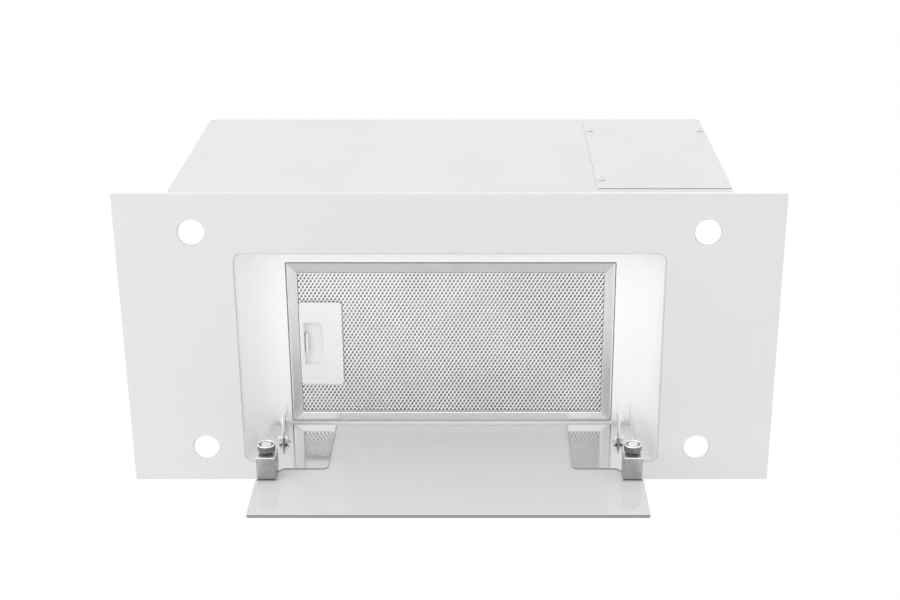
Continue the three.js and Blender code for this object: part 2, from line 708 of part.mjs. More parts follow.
function filterFrame() {
  const whole = filterSheet(0, 0, FILTER_THICK);
  const groove = filterSheet(FILTER_SHEET, FILTER_SHEET, FILTER_THICK - FILTER_SHEET);
  const view = filterSheet(FILTER_BAR, -OVER, FILTER_THICK + OVER);
  const tabs = [-1, 1].map((end) => {
    const y = (end * TAB_SPACING) / 2;
    return block(
      HALF_FILTER - FILTER_SHEET,
      HALF_FILTER + LATCH_REACH,
      y - TAB_WIDTH / 2,
      y + TAB_WIDTH / 2,
      LATCH_HEIGHT,
      LATCH_HEIGHT + LATCH_SHEET,
    );
  });
  return join(cut(whole, groove, view, latchChannel(FILTER_GAP)), ...tabs);
}

// D-shaped finger pocket: straight on the latch side, rounded on the other.
function pocketOutline(grow) {
  const half = POCKET_LENGTH / 2 + grow;
  const radius = POCKET_CORNER + grow;
  const x0 = POCKET_X0 - grow;
  const x1 = POCKET_X1 + grow;
  const shape = new THREE.Shape();
  shape.moveTo(x0, -half);
  shape.lineTo(x1 - radius, -half);
  shape.absarc(x1 - radius, radius - half, radius, -Math.PI / 2, 0);
  shape.absarc(x1 - radius, half - radius, radius, 0, Math.PI / 2);
  shape.lineTo(x0, half);
  return shape;
}

function filterHandle() {
  const low = -HANDLE_PROUD;
  const top = POCKET_DEPTH - HANDLE_PROUD;
  const half = HANDLE_LENGTH / 2;
  const outline = roundedRect(HANDLE_X0, HANDLE_X1, -half, half, HANDLE_CORNER);
  const plate = prism(outline, "z", low, low + HANDLE_SHEET);
  const cup = prism(pocketOutline(POCKET_WALL), "z", low, top);
  const pocket = prism(pocketOutline(0), "z", low - OVER, top - POCKET_WALL);
  return cut(join(plate, cup), pocket, latchChannel(FIT));
}

function packSheet(z0, z1) {
  const sheet = filterSheet(FILTER_SHEET + FIT, z0, z1);
  const cup = prism(pocketOutline(POCKET_WALL + FIT), "z", z0 - OVER, z1 + OVER);
  return cut(sheet, cup, latchChannel(2 * FIT));
}

function latchSlider() {
  const half = LATCH_WIDTH / 2;
  const wide = half + LATCH_LIP_SPREAD;
  const lip = POCKET_X0 + LATCH_LIP_GAP;
  const top = LATCH_HEIGHT + LATCH_SHEET;
  const tongue = block(-HALF_FILTER - LATCH_REACH, lip + LATCH_LIP, -half, half, LATCH_HEIGHT, top);
  return join(tongue, block(lip, lip + LATCH_LIP, -wide, wide, LATCH_LIP_LOW, top));
}

const filter = group(hood, 0, (FILTER_FRONT + FILTER_BACK) / 2, LEDGE);
place(filter, "filter_frame", filterFrame(), FINISH.aluminium);
const frontMeshTop = PACK_LOW + MESH_SHEET;
const backMeshLow = PACK_HIGH - MESH_SHEET;
place(filter, "filter_mesh_front", packSheet(PACK_LOW, frontMeshTop), FINISH.aluminium);
place(filter, "filter_core", packSheet(frontMeshTop + FIT, backMeshLow - FIT), FINISH.aluminium);
const backMesh = filterSheet(FILTER_SHEET + FIT, backMeshLow, PACK_HIGH);
place(filter, "filter_mesh_back", backMesh, FINISH.aluminium);
place(filter, "filter_handle", filterHandle(), FINISH.whitePlastic);
place(filter, "latch_slider", latchSlider(), FINISH.whitePlastic);

// ---------------------------------------------------------------- suction flap and its hinges
// The flap is built closed, about its pivot axis, and its group is turned to hang open.
const hingeLine = group(hood, 0, PIVOT_Y, PIVOT_Z);
const flap = group(hingeLine, 0, 0, 0);
flap.rotation.x = FLAP_OPEN_ANGLE;

const EAR_OUT = HALF_OPENING - HINGE_SIDE_GAP;
const EAR_IN = EAR_OUT - EAR_SHEET;
const ARM_OUT = EAR_IN - FIT;
const ARM_IN = ARM_OUT - HINGE_SHEET;
const LUG_OUT = ARM_IN - FIT;
const LUG_IN = LUG_OUT - HINGE_SHEET;
const FLAP_FACE = -FLAP_ARM;
const BRACKET_TOP = FLAP_FACE + FIT + BRACKET_SHEET;
const BLOCK_OUT = HALF_FLAP - BRACKET_EDGE - FIT;
const BLOCK_FRONT = -BRACKET_FRONT - BLOCK_LENGTH + FIT;

function boltHole(side, from, to, y, z) {
  return rod("x", BOLT_RADIUS + FIT, side * (from - OVER), side * (to + OVER), y, z, SMALL_SEGMENTS);
}

function flapGlass() {
  const front = FLAP_BACK - (OPENING_BACK - OPENING_FRONT - 2 * FLAP_END_GAP);
  const shape = roundedRect(-HALF_FLAP, HALF_FLAP, front, FLAP_BACK, FLAP_CORNER);
  return prism(shape, "z", FLAP_FACE - FLAP_THICK, FLAP_FACE);
}

function flapBracket(side) {
  const outer = side * (HALF_FLAP - BRACKET_EDGE);
  const inner = outer - side * BRACKET_WIDTH;
  const tab = outer - side * (BLOCK_WIDTH + 2 * FIT);
  const tabFront = BLOCK_FRONT - FIT;
  const shape = new THREE.Shape();
  shape.moveTo(outer, FLAP_BACK - BRACKET_BACK);
  shape.lineTo(inner, FLAP_BACK - BRACKET_BACK);
  shape.lineTo(inner, BRACKET_CORNER - BRACKET_FRONT);
  shape.quadraticCurveTo(inner, -BRACKET_FRONT, inner + side * BRACKET_CORNER, -BRACKET_FRONT);
  shape.lineTo(tab - side * BRACKET_CHAMFER, -BRACKET_FRONT);
  shape.lineTo(tab, -BRACKET_FRONT - BRACKET_DROP);
  shape.lineTo(tab, tabFront);
  shape.lineTo(outer, tabFront);
  const plate = prism(shape, "z", FLAP_FACE + FIT, BRACKET_TOP);
  const lug = block(
    side * LUG_IN,
    side * LUG_OUT,
    CLAMP_Y - CLAMP_RADIUS - LUG_MARGIN,
    CLAMP_Y + CLAMP_RADIUS + LUG_MARGIN,
    FLAP_FACE + FIT,
    CLAMP_Z + CLAMP_RADIUS,
  );
  return cut(join(plate, lug), boltHole(side, LUG_IN, LUG_OUT, CLAMP_Y, CLAMP_Z));
}

// Folded sheet box, open towards the flap's middle line.
function magnetBlock(side) {
  const outer = side * BLOCK_OUT;
  const inner = outer - side * BLOCK_WIDTH;
  const low = BRACKET_TOP + FIT;
  const top = low + BLOCK_HEIGHT;
  const back = BLOCK_FRONT + BLOCK_LENGTH;
  const whole = block(inner, outer, BLOCK_FRONT, back, low, top);
  const room = block(
    inner + side * BLOCK_WALL,
    outer - side * BLOCK_WALL,
    BLOCK_FRONT + BLOCK_WALL,
    back + OVER,
    low + BLOCK_WALL,
    top - BLOCK_WALL,
  );
  return cut(whole, room);
}

function potMagnet(side) {
  const x = side * (BLOCK_OUT - BLOCK_WIDTH / 2);
  const y = BLOCK_FRONT + BLOCK_LENGTH / 2;
  const low = BRACKET_TOP + 2 * FIT + BLOCK_HEIGHT;
  const neck = rod("z", MAGNET_NECK_DIAMETER / 2, low, low + MAGNET_NECK + BITE, x, y);
  const radius = MAGNET_DIAMETER / 2;
  const top = low + MAGNET_NECK + MAGNET_HEIGHT;
  const sunk = top - MAGNET_SUNK;
  const pot = rod("z", radius, low + MAGNET_NECK, top, x, y);
  const well = rod("z", radius - MAGNET_RIM, sunk, top + OVER, x, y);
  const middle = rod("z", MAGNET_BORE, sunk - BITE, top + 2 * OVER, x, y, SMALL_SEGMENTS);
  return cut(join(neck, pot), cut(well, middle));
}

function hingeArm(side) {
  const shape = linkOutline(0, 0, ARM_RADIUS, CLAMP_Y, CLAMP_Z, CLAMP_RADIUS);
  const holes = [
    [0, 0],
    [CLAMP_Y, CLAMP_Z],
  ].map(([y, z]) => boltHole(side, ARM_IN, ARM_OUT, y, z));
  return cut(prism(shape, "x", side * ARM_IN, side * ARM_OUT), ...holes);
}

// The fixed ear hangs from the ledge and is not turned with the flap.
function hingeEar(side) {
  const top = LEDGE - PIVOT_Z - FIT;
  const shape = new THREE.Shape();
  shape.moveTo(-EAR_RADIUS, top);
  shape.absarc(0, 0, EAR_RADIUS, Math.PI, 2 * Math.PI);
  shape.lineTo(EAR_RADIUS, top);
  const ear = prism(shape, "x", side * EAR_IN, side * EAR_OUT);
  const foot = block(
    side * EAR_IN,
    side * (EAR_OUT + EAR_FOOT),
    -EAR_RADIUS,
    EAR_RADIUS + EAR_FOOT_BACK,
    top - EAR_SHEET,
    top,
  );
  return cut(join(ear, foot), boltHole(side, EAR_IN, EAR_OUT, 0, 0));
}

function hexNut(side, from, y, z) {
  const [outer, inner] = [from * side, from * side - BOLT_HEAD_HIGH];
  return cut(rod("x", BOLT_HEAD, from, side * inner, y, z, HEX), boltHole(side, inner, outer, y, z));
}

place(flap, "flap_glass", flapGlass(), FINISH.whiteGlass);
for (const [name, side] of SIDES) {
  place(flap, `flap_bracket_${name}`, flapBracket(side), FINISH.polishedSteel);
  place(flap, `magnet_block_${name}`, magnetBlock(side), FINISH.brushedSteel);
  place(flap, `pot_magnet_${name}`, potMagnet(side), FINISH.polishedSteel);
  place(flap, `hinge_arm_${name}`, hingeArm(side), FINISH.zincSteel);
  const clampEnd = LUG_IN - FIT - BOLT_HEAD_HIGH - BOLT_END;
  place(
    flap,
    `clamp_bolt_${name}`,
    hexBolt(side * clampEnd, side * (ARM_OUT + FIT), CLAMP_Y, CLAMP_Z, side),
    FINISH.zincSteel,
  );
  place(flap, `clamp_nut_${name}`, hexNut(side, side * (LUG_IN - FIT), CLAMP_Y, CLAMP_Z), FINISH.zincSteel);
  place(hingeLine, `hinge_ear_${name}`, hingeEar(side), FINISH.zincSteel);
  const pivotEnd = ARM_IN - FIT - BOLT_HEAD_HIGH - BOLT_END;
  place(
    hingeLine,
    `pivot_bolt_${name}`,
    hexBolt(side * pivotEnd, side * (EAR_OUT + FIT), 0, 0, side),
    FINISH.zincSteel,
  );
  place(hingeLine, `pivot_nut_${name}`, hexNut(side, side * (ARM_IN - FIT), 0, 0), FINISH.zincSteel);
}

// ---------------------------------------------------------------- fan
// Built about the fan's axis, which runs along X.
const fan = group(hood, 0, FAN_Y, FAN_Z);
const THROAT_TOP = BOX_HEIGHT - BOX_SHEET - FIT - FAN_Z;

// A spiral that grows from the tongue round to the throat, then runs straight up.
function scrollOutline(inset, top) {
  const start = SCROLL_TONGUE_ANGLE;
  const shape = new THREE.Shape();
  shape.moveTo(TONGUE_Y + inset, top);
  for (let angle = start; angle <= 360; angle += SCROLL_STEP) {
    const share = (angle - start) / (360 - start);
    const radius = TONGUE_RADIUS + SCROLL_GROWTH * share - inset;
    const turn = THREE.MathUtils.degToRad(angle);
    shape.lineTo(radius * Math.cos(turn), radius * Math.sin(turn));
  }
  shape.lineTo(THROAT_RADIUS - inset, top);
  return shape;
}

function scrollHalf(side) {
  const x0 = (side * FIT) / 2;
  const x1 = (side * SCROLL_WIDTH) / 2;
  const outer = prism(scrollOutline(0, THROAT_TOP), "x", x0, x1);
  const hollow = scrollOutline(SCROLL_WALL, THROAT_TOP + OVER);
  const inner = prism(hollow, "x", x0 - side * OVER, x1 - side * SCROLL_WALL);
  const inlet = rod("x", INLET_RADIUS, x1 - side * (SCROLL_WALL + OVER), x1 + side * OVER);
  const lip = block(
    x0,
    x1 + side * SCROLL_LIP,
    TONGUE_Y - SCROLL_LIP,
    THROAT_RADIUS + SCROLL_LIP,
    THROAT_TOP - SCROLL_WALL,
    THROAT_TOP,
  );
  return cut(join(outer, lip), inner, inlet);
}

function bladeOutline(turn) {
  const inner = IMPELLER_RADIUS - BLADE_DEPTH;
  const thick = BLADE_SHEET / inner;
  const point = (radius, angle) => [radius * Math.cos(turn + angle), radius * Math.sin(turn + angle)];
  const bow = (inner + IMPELLER_RADIUS) / 2;
  const shape = new THREE.Shape();
  shape.moveTo(...point(inner, 0));
  shape.lineTo(...point(bow, BLADE_BOW));
  shape.lineTo(...point(IMPELLER_RADIUS, BLADE_LEAN));
  shape.lineTo(...point(IMPELLER_RADIUS, BLADE_LEAN + thick));
  shape.lineTo(...point(bow, BLADE_BOW + thick));
  shape.lineTo(...point(inner, thick));
  return shape;
}

function impeller() {
  const half = IMPELLER_WIDTH / 2;
  const facets = 2 * BLADE_COUNT;
  const disc = rod("x", IMPELLER_RADIUS - OVER, -HUB_DISC / 2, HUB_DISC / 2, 0, 0, facets);
  const boss = rod("x", HUB_RADIUS, -HUB_BACK, HUB_FRONT);
  const hoopOut = IMPELLER_RADIUS + BLADE_SHEET;
  const rings = [-1, 1].map((side) => {
    const [from, to] = [side * (half - HOOP_INSET - HOOP_WIDTH), side * (half - HOOP_INSET)];
    const hoop = rod("x", hoopOut, from, to, 0, 0, facets);
    const inside = rod("x", hoopOut - HOOP_WALL, from - side * OVER, to + side * OVER, 0, 0, facets);
    return cut(hoop, inside);
  });
  const blades = Array.from({ length: BLADE_COUNT }, (_, i) =>
    prism(bladeOutline((2 * Math.PI * i) / BLADE_COUNT), "x", -half, half),
  );
  const bore = rod("x", SHAFT_RADIUS + FIT, -HUB_BACK - OVER, HUB_FRONT + OVER);
  return cut(join(disc, boss, ...rings, ...blades), bore);
}

const MOTOR_BACK = -SCROLL_WIDTH / 2;

function motor() {
  const front = -MOTOR_INSET;
  const can = rod("x", MOTOR_RADIUS, MOTOR_BACK + MOTOR_TAIL, front - MOTOR_CAP);
  const cap = rod("x", MOTOR_RADIUS - MOTOR_CAP_STEP, front - MOTOR_CAP - BITE, front);
  const tail = rod("x", MOTOR_RADIUS - MOTOR_TAIL_STEP, MOTOR_BACK, MOTOR_BACK + MOTOR_TAIL + BITE);
  const shaft = rod("x", SHAFT_RADIUS, front - BITE, SHAFT_END);
  return join(can, cap, tail, shaft);
}

function motorBracket() {
  const x1 = MOTOR_BACK - FIT;
  const x0 = x1 - SPIDER_SHEET;
  const outer = INLET_RADIUS + SPIDER_RING;
  const ring = cut(rod("x", outer, x0, x1), rod("x", INLET_RADIUS, x0 - OVER, x1 + OVER));
  const hub = rod("x", SPIDER_HUB, x0, x1);
  const reach = INLET_RADIUS + SPIDER_RING / 2;
  const arms = Array.from({ length: SPIDER_ARMS }, (_, i) => {
    const geometry = new THREE.BoxGeometry(x1 - x0, reach - SPIDER_BORE, SPIDER_ARM);
    geometry.translate((x0 + x1) / 2, (reach + SPIDER_BORE) / 2, 0);
    return solidOf(geometry.rotateX((2 * Math.PI * i) / SPIDER_ARMS));
  });
  return cut(join(ring, hub, ...arms), rod("x", SPIDER_BORE, x0 - OVER, x1 + OVER));
}

for (const [name, side] of SIDES) place(fan, `scroll_half_${name}`, scrollHalf(side), FINISH.greyPlastic);
place(fan, "impeller", impeller(), FINISH.blackPlastic);
place(fan, "fan_motor", motor(), FINISH.zincSteel);
place(fan, "motor_bracket", motorBracket(), FINISH.zincSteel);

// ---------------------------------------------------------------- outlet collar and dampers
// Built about the collar's axis, from the top panel's upper face.
const outlet = group(hood, 0, COLLAR_Y, BOX_HEIGHT);
const COLLAR_LOW = FIT;
const COLLAR_BORE = DUCT_DIAMETER / 2 - COLLAR_WALL;
const COLLAR_FACETS = 2 * ROUND_SEGMENTS;
const PIN_Z = COLLAR_LOW + DAMPER_PIN_HEIGHT;

function outletCollar() {
  const half = COLLAR_FLANGE / 2;
  const top = COLLAR_LOW + COLLAR_HEIGHT;
  const outline = roundedRect(-half, half, -half, half, COLLAR_CORNER);
  const flange = prism(outline, "z", COLLAR_LOW, COLLAR_LOW + COLLAR_FLANGE_THICK);
  const spigot = rod("z", DUCT_DIAMETER / 2, COLLAR_LOW, top, 0, 0, COLLAR_FACETS);
  const bore = rod("z", COLLAR_BORE, COLLAR_LOW - OVER, top + OVER, 0, 0, COLLAR_FACETS);
  const across = DUCT_DIAMETER / 2 + OVER;
  const pinHoles = rod("x", DAMPER_PIN_RADIUS + FIT, -across, across, 0, PIN_Z, SMALL_SEGMENTS);
  return cut(join(flange, spigot), bore, pinHoles);
}

// Half discs hung on the pin by their own barrels; end is -1 for the front one, 1 for the rear.
function damperFlap(end) {
  const radius = COLLAR_BORE - DAMPER_EDGE_GAP;
  const low = PIN_Z - DAMPER_SHEET / 2;
  const high = low + DAMPER_SHEET;
  const disc = rod("z", radius, low, high, 0, 0, COLLAR_FACETS);
  const near = DAMPER_BARREL + DAMPER_MIDDLE_GAP;
  const keep = block(-radius, radius, end * near, end * (radius + OVER), low - OVER, high + OVER);
  const [from, to] = DAMPER_OUTER_BARREL;
  const outerSpans = [
    [-to, -from],
    [from, to],
  ];
  const spans = end < 0 ? outerSpans : [[-DAMPER_INNER_BARREL, DAMPER_INNER_BARREL]];
  const barrels = spans.flatMap(([x0, x1]) => [
    rod("x", DAMPER_BARREL, x0, x1, 0, PIN_Z),
    block(x0, x1, 0, end * (near + DAMPER_WEB), low, high),
  ]);
  const bore = rod("x", DAMPER_PIN_RADIUS + FIT, -radius, radius, 0, PIN_Z, SMALL_SEGMENTS);
  return cut(join(disc.intersect(keep), ...barrels), bore);
}

place(outlet, "outlet_collar", outletCollar(), FINISH.blackPlastic);
const pinHalf = DUCT_DIAMETER / 2 - FIT;
const damperPin = rod("x", DAMPER_PIN_RADIUS, -pinHalf, pinHalf, 0, PIN_Z, SMALL_SEGMENTS);
place(outlet, "damper_pin", damperPin, FINISH.zincSteel);
place(outlet, "damper_flap_front", damperFlap(-1), FINISH.blackPlastic);
place(outlet, "damper_flap_rear", damperFlap(1), FINISH.blackPlastic);

// ---------------------------------------------------------------- electronics
// Built from the lower right front corner of the tray's room, behind the cover.
const TRAY_WIDE = COVER_WIDTH - 2 * COVER_LAP - 2 * CABINET_SIDE_GAP;
const electronics = group(
  hood,
  HALF_BOX - COVER_LAP - CABINET_SIDE_GAP - TRAY_WIDE,
  BOX_FRONT + BOX_SHEET + FIT,
  CABINET_BOTTOM,
);

function electronicsTray() {
  const whole = block(0, TRAY_WIDE, 0, CABINET_DEPTH, 0, CABINET_HEIGHT);
  const room = block(
    CABINET_WALL,
    TRAY_WIDE - CABINET_WALL,
    -OVER,
    CABINET_DEPTH - CABINET_WALL,
    CABINET_WALL,
    CABINET_HEIGHT - CABINET_WALL,
  );
  const post = CABINET_DEPTH - CABINET_WALL - BOARD_STANDOFF;
  const posts = [POST_SIDE_GAP, TRAY_WIDE - POST_SIDE_GAP].flatMap((x) =>
    [POST_END_GAP, CABINET_HEIGHT - POST_END_GAP].map((z) =>
      rod("y", POST_RADIUS, post, CABINET_DEPTH - BITE, x, z, SMALL_SEGMENTS),
    ),
  );
  return join(cut(whole, room), ...posts);
}

const boardBack = CABINET_DEPTH - CABINET_WALL - BOARD_STANDOFF - FIT;
const boardFront = boardBack - BOARD_THICK;

function controlBoard() {
  const [x, z] = [BOARD_SIDE_GAP, BOARD_END_GAP];
  return block(x, TRAY_WIDE - x, boardFront, boardBack, z, CABINET_HEIGHT - z);
}

// A boxed part on the board, from its left and bottom edges.
function boardPart({ wide, deep, high }, x, z) {
  return block(x, x + wide, boardFront - FIT - deep, boardFront - FIT, z, z + high);
}

function capacitor() {
  const { radius, high, side, bottom } = CAPACITOR;
  return rod("z", radius, bottom, bottom + high, TRAY_WIDE - side, boardFront - FIT - radius - BITE);
}

const driver = boardPart(LED_DRIVER, LED_DRIVER.side, CABINET_HEIGHT - LED_DRIVER.top - LED_DRIVER.high);
const terminal = boardPart(TERMINAL, TERMINAL.side, TERMINAL.bottom);
const relayX = TRAY_WIDE - RELAY.side - RELAY.wide;
const relay = boardPart(RELAY, relayX, CABINET_HEIGHT - RELAY.top - RELAY.high);

place(electronics, "electronics_tray", electronicsTray(), FINISH.whitePlastic);
place(electronics, "control_board", controlBoard(), FINISH.boardGreen);
place(electronics, "led_driver", driver, FINISH.blackPlastic);
place(electronics, "motor_capacitor", capacitor(), FINISH.greyPlastic);
place(electronics, "terminal_block", terminal, FINISH.whitePlastic);
place(electronics, "relay", relay, FINISH.blackPlastic);

function cableGland() {
  const [x, y] = glandPlace();
  const low = BOX_HEIGHT - BOX_SHEET - GLAND_BELOW;
  const top = BOX_HEIGHT + GLAND_HEIGHT;
  const neck = rod("z", GLAND_RADIUS - GLAND_NECK_STEP, low, BOX_HEIGHT + FIT + BITE, x, y);
  const nut = rod("z", GLAND_RADIUS, BOX_HEIGHT + FIT, top, x, y, HEX);
  return cut(join(neck, nut), rod("z", GLAND_BORE, low - OVER, top + OVER, x, y));
}

place(hood, "cable_gland", cableGland(), FINISH.greyPlastic);

export default hood;
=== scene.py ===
"""Looks of the built-in cabinet extractor hood: meshes, finishes, studio and camera.

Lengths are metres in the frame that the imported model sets: +Z up, the hood's front at -Y.
"""

import json
import logging
import math
from collections.abc import Callable, Iterable, Sequence
from dataclasses import dataclass, replace
from enum import Enum
from functools import cache

import bmesh
import bpy
from mathutils import Matrix, Vector, noise
from mathutils.geometry import tessellate_polygon

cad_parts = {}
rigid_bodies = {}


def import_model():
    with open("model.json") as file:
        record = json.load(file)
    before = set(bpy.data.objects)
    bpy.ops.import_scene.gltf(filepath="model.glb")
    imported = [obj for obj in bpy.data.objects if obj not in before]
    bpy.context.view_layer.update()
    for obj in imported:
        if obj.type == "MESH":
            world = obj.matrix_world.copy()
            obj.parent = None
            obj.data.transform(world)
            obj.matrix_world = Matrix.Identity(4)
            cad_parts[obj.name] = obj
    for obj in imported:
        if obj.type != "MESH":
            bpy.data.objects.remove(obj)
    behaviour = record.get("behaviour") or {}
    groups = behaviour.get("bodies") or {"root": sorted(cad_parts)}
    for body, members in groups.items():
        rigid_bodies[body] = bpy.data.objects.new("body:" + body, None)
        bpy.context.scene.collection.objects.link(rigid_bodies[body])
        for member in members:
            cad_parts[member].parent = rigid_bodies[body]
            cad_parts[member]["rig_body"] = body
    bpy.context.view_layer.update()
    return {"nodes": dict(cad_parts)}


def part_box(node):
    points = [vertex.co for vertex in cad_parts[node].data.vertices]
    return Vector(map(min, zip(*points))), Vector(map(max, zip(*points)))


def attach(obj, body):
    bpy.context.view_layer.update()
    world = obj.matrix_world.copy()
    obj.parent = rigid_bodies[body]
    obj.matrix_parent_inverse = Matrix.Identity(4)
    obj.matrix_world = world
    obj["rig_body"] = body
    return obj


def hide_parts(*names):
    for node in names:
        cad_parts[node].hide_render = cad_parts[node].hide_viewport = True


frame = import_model()

Flat = tuple[float, float]
Loop = list[Flat]
Ring = list[Vector]
Place = Callable[[float, float, float], Vector]
LOG = logging.getLogger("hood")
TURN = 2 * math.pi

# A mesh with more faces than LARGE_MESH keeps all its faces and plain normals.
LARGE_MESH = 30_000

# Degrees: edges above CREASE stay sharp, and faces within the other two are taken as one.
CREASE = 32.0
SAME_PLANE = 0.05
NEARLY_FLAT = 1.0

# Points closer than these are taken as one.
SAME_SPOT = 1e-7
NEAR_SPOT = 2e-6
KEYS_PER_METRE = 2e5

# Shares that turn a finish's own values into its node values.
GLOSS_FLOOR = 0.85
GLOSS_SPREAD = 0.3
BUMP_STRENGTH = 0.6
# How much lighter convex edges get, for edge wear and a painted edge highlight.
WEAR_AND_SHEEN_LIGHTER = 0.25


# ---- node wiring
class Wiring:
    """Adds nodes to one node tree and joins their sockets."""

    def __init__(self, tree: bpy.types.NodeTree) -> None:
        """Keeps the tree of a material, a world or a group."""
        self.tree = tree

    def add(self, kind: str, inputs: dict | None = None, **settings: object) -> bpy.types.Node:
        """Adds one node.

        Args:
            kind: the node's type name.
            inputs: socket name or number to a value, or to the socket that feeds it.
            settings: the node's own properties.

        Returns:
            The new node.
        """
        node = self.tree.nodes.new(kind)
        for key, value in settings.items():
            setattr(node, key, value)
        for key, value in (inputs or {}).items():
            if isinstance(value, bpy.types.NodeSocket):
                self.tree.links.new(value, node.inputs[key])
            else:
                node.inputs[key].default_value = value
        return node

    def math(self, operation: str, first: object, second: object = 0.0) -> bpy.types.NodeSocket:
        """Adds a Math node and returns its result."""
        return self.add("ShaderNodeMath", {0: first, 1: second}, operation=operation).outputs[0]

    def spread(self, value: object, low: float, high: float) -> bpy.types.NodeSocket:
        """Stretches the range from low to high over 0 to 1."""
        inputs = {"Value": value, "From Min": low, "From Max": high}
        return self.add("ShaderNodeMapRange", inputs, interpolation_type="SMOOTHSTEP").outputs[0]

    def group(self, tree: bpy.types.NodeTree, inputs: dict) -> bpy.types.NodeSocket:
        """Places a node group with its own values and returns what it puts out."""
        return self.add("ShaderNodeGroup", inputs, node_tree=tree).outputs[0]


class Effect(Wiring):
    """A node group with named inputs and one output, which several finishes use."""

    def __init__(self, name: str, inputs: dict[str, object], result: str) -> None:
        """Starts the group.

        Args:
            name: the group's name.
            inputs: socket name to its first value; a tuple makes a vector socket.
            result: the name of the number that it puts out.
        """
        super().__init__(bpy.data.node_groups.new(name, "ShaderNodeTree"))
        sockets = self.tree.interface
        for label, value in inputs.items():
            kind = "NodeSocketVector" if isinstance(value, tuple) else "NodeSocketFloat"
            sockets.new_socket(name=label, in_out="INPUT", socket_type=kind).default_value = value
        sockets.new_socket(name=result, in_out="OUTPUT", socket_type="NodeSocketFloat")
        self.given = self.add("NodeGroupInput").outputs
        self.result = self.add("NodeGroupOutput").inputs[0]
        self.place = self.add("ShaderNodeTexCoord").outputs["Object"]

    def noise(self, inputs: dict) -> bpy.types.NodeSocket:
        """Adds a noise texture in the piece's own coordinates and returns its value."""
        return self.add("ShaderNodeTexNoise", {"Vector": self.place, **inputs}).outputs["Fac"]

    def done(self, value: bpy.types.NodeSocket) -> bpy.types.NodeTree:
        """Puts the value out and returns the finished group."""
        self.tree.links.new(value, self.result)
        return self.tree


@cache
def fine_grain() -> bpy.types.NodeTree:
    """Small even bumps, as on powder coat and moulded plastic."""
    effect = Effect("fine_grain", {"Scale": 900.0}, "Height")
    return effect.done(effect.noise({"Scale": effect.given["Scale"], "Detail": 2.0}))


@cache
def brush_lines() -> bpy.types.NodeTree:
    """Long fine scratches along one direction, as rolled or brushed metal has."""
    effect = Effect("brush_lines", {"Stretch": (1.0, 1.0, 1.0), "Scale": 1500.0}, "Tone")
    pair = {0: effect.place, 1: effect.given["Stretch"]}
    drawn = effect.add("ShaderNodeVectorMath", pair, operation="MULTIPLY").outputs[0]
    lines = effect.noise({"Vector": drawn, "Scale": effect.given["Scale"], "Detail": 4.0})
    return effect.done(effect.spread(lines, 0.3, 0.7))


@cache
def crystal_cells() -> bpy.types.NodeTree:
    """Patches of slightly different tone, as zinc plating has."""
    effect = Effect("crystal_cells", {"Scale": 300.0}, "Tone")
    inputs = {"Vector": effect.place, "Scale": effect.given["Scale"]}
    cells = effect.add("ShaderNodeTexVoronoi", inputs).outputs["Color"]
    return effect.done(effect.add("ShaderNodeSeparateColor", {"Color": cells}).outputs["Red"])


@cache
def handling_marks() -> bpy.types.NodeTree:
    """Broad faint patches left by wiping and handling."""
    effect = Effect("handling_marks", {"Scale": 14.0, "Contrast": 0.5}, "Mask")
    patches = effect.noise({"Scale": effect.given["Scale"], "Detail": 5.0, "Distortion": 0.6})
    soft = effect.spread(patches, 0.35, 0.7)
    return effect.done(effect.math("MULTIPLY", soft, effect.given["Contrast"]))


@cache
def edge_wear_and_sheen() -> bpy.types.NodeTree:
    """Bright spots where the surface is most convex: edge wear and a painted highlight on the edges."""
    effect = Effect("edge_wear_and_sheen", {"Amount": 0.3}, "Mask")
    edge = effect.spread(effect.add("ShaderNodeNewGeometry").outputs["Pointiness"], 0.52, 0.62)
    broken = effect.spread(effect.noise({"Scale": 220.0}), 0.35, 0.6)
    patchy = effect.math("MULTIPLY", edge, broken)
    return effect.done(effect.math("MULTIPLY", patchy, effect.given["Amount"]))


# ---- finishes
class Surface(Enum):
    """How a finish is textured."""

    SMOOTH = "smooth"
    GRAIN = "grain"
    BRUSHED = "brushed"
    PLATED = "plated"


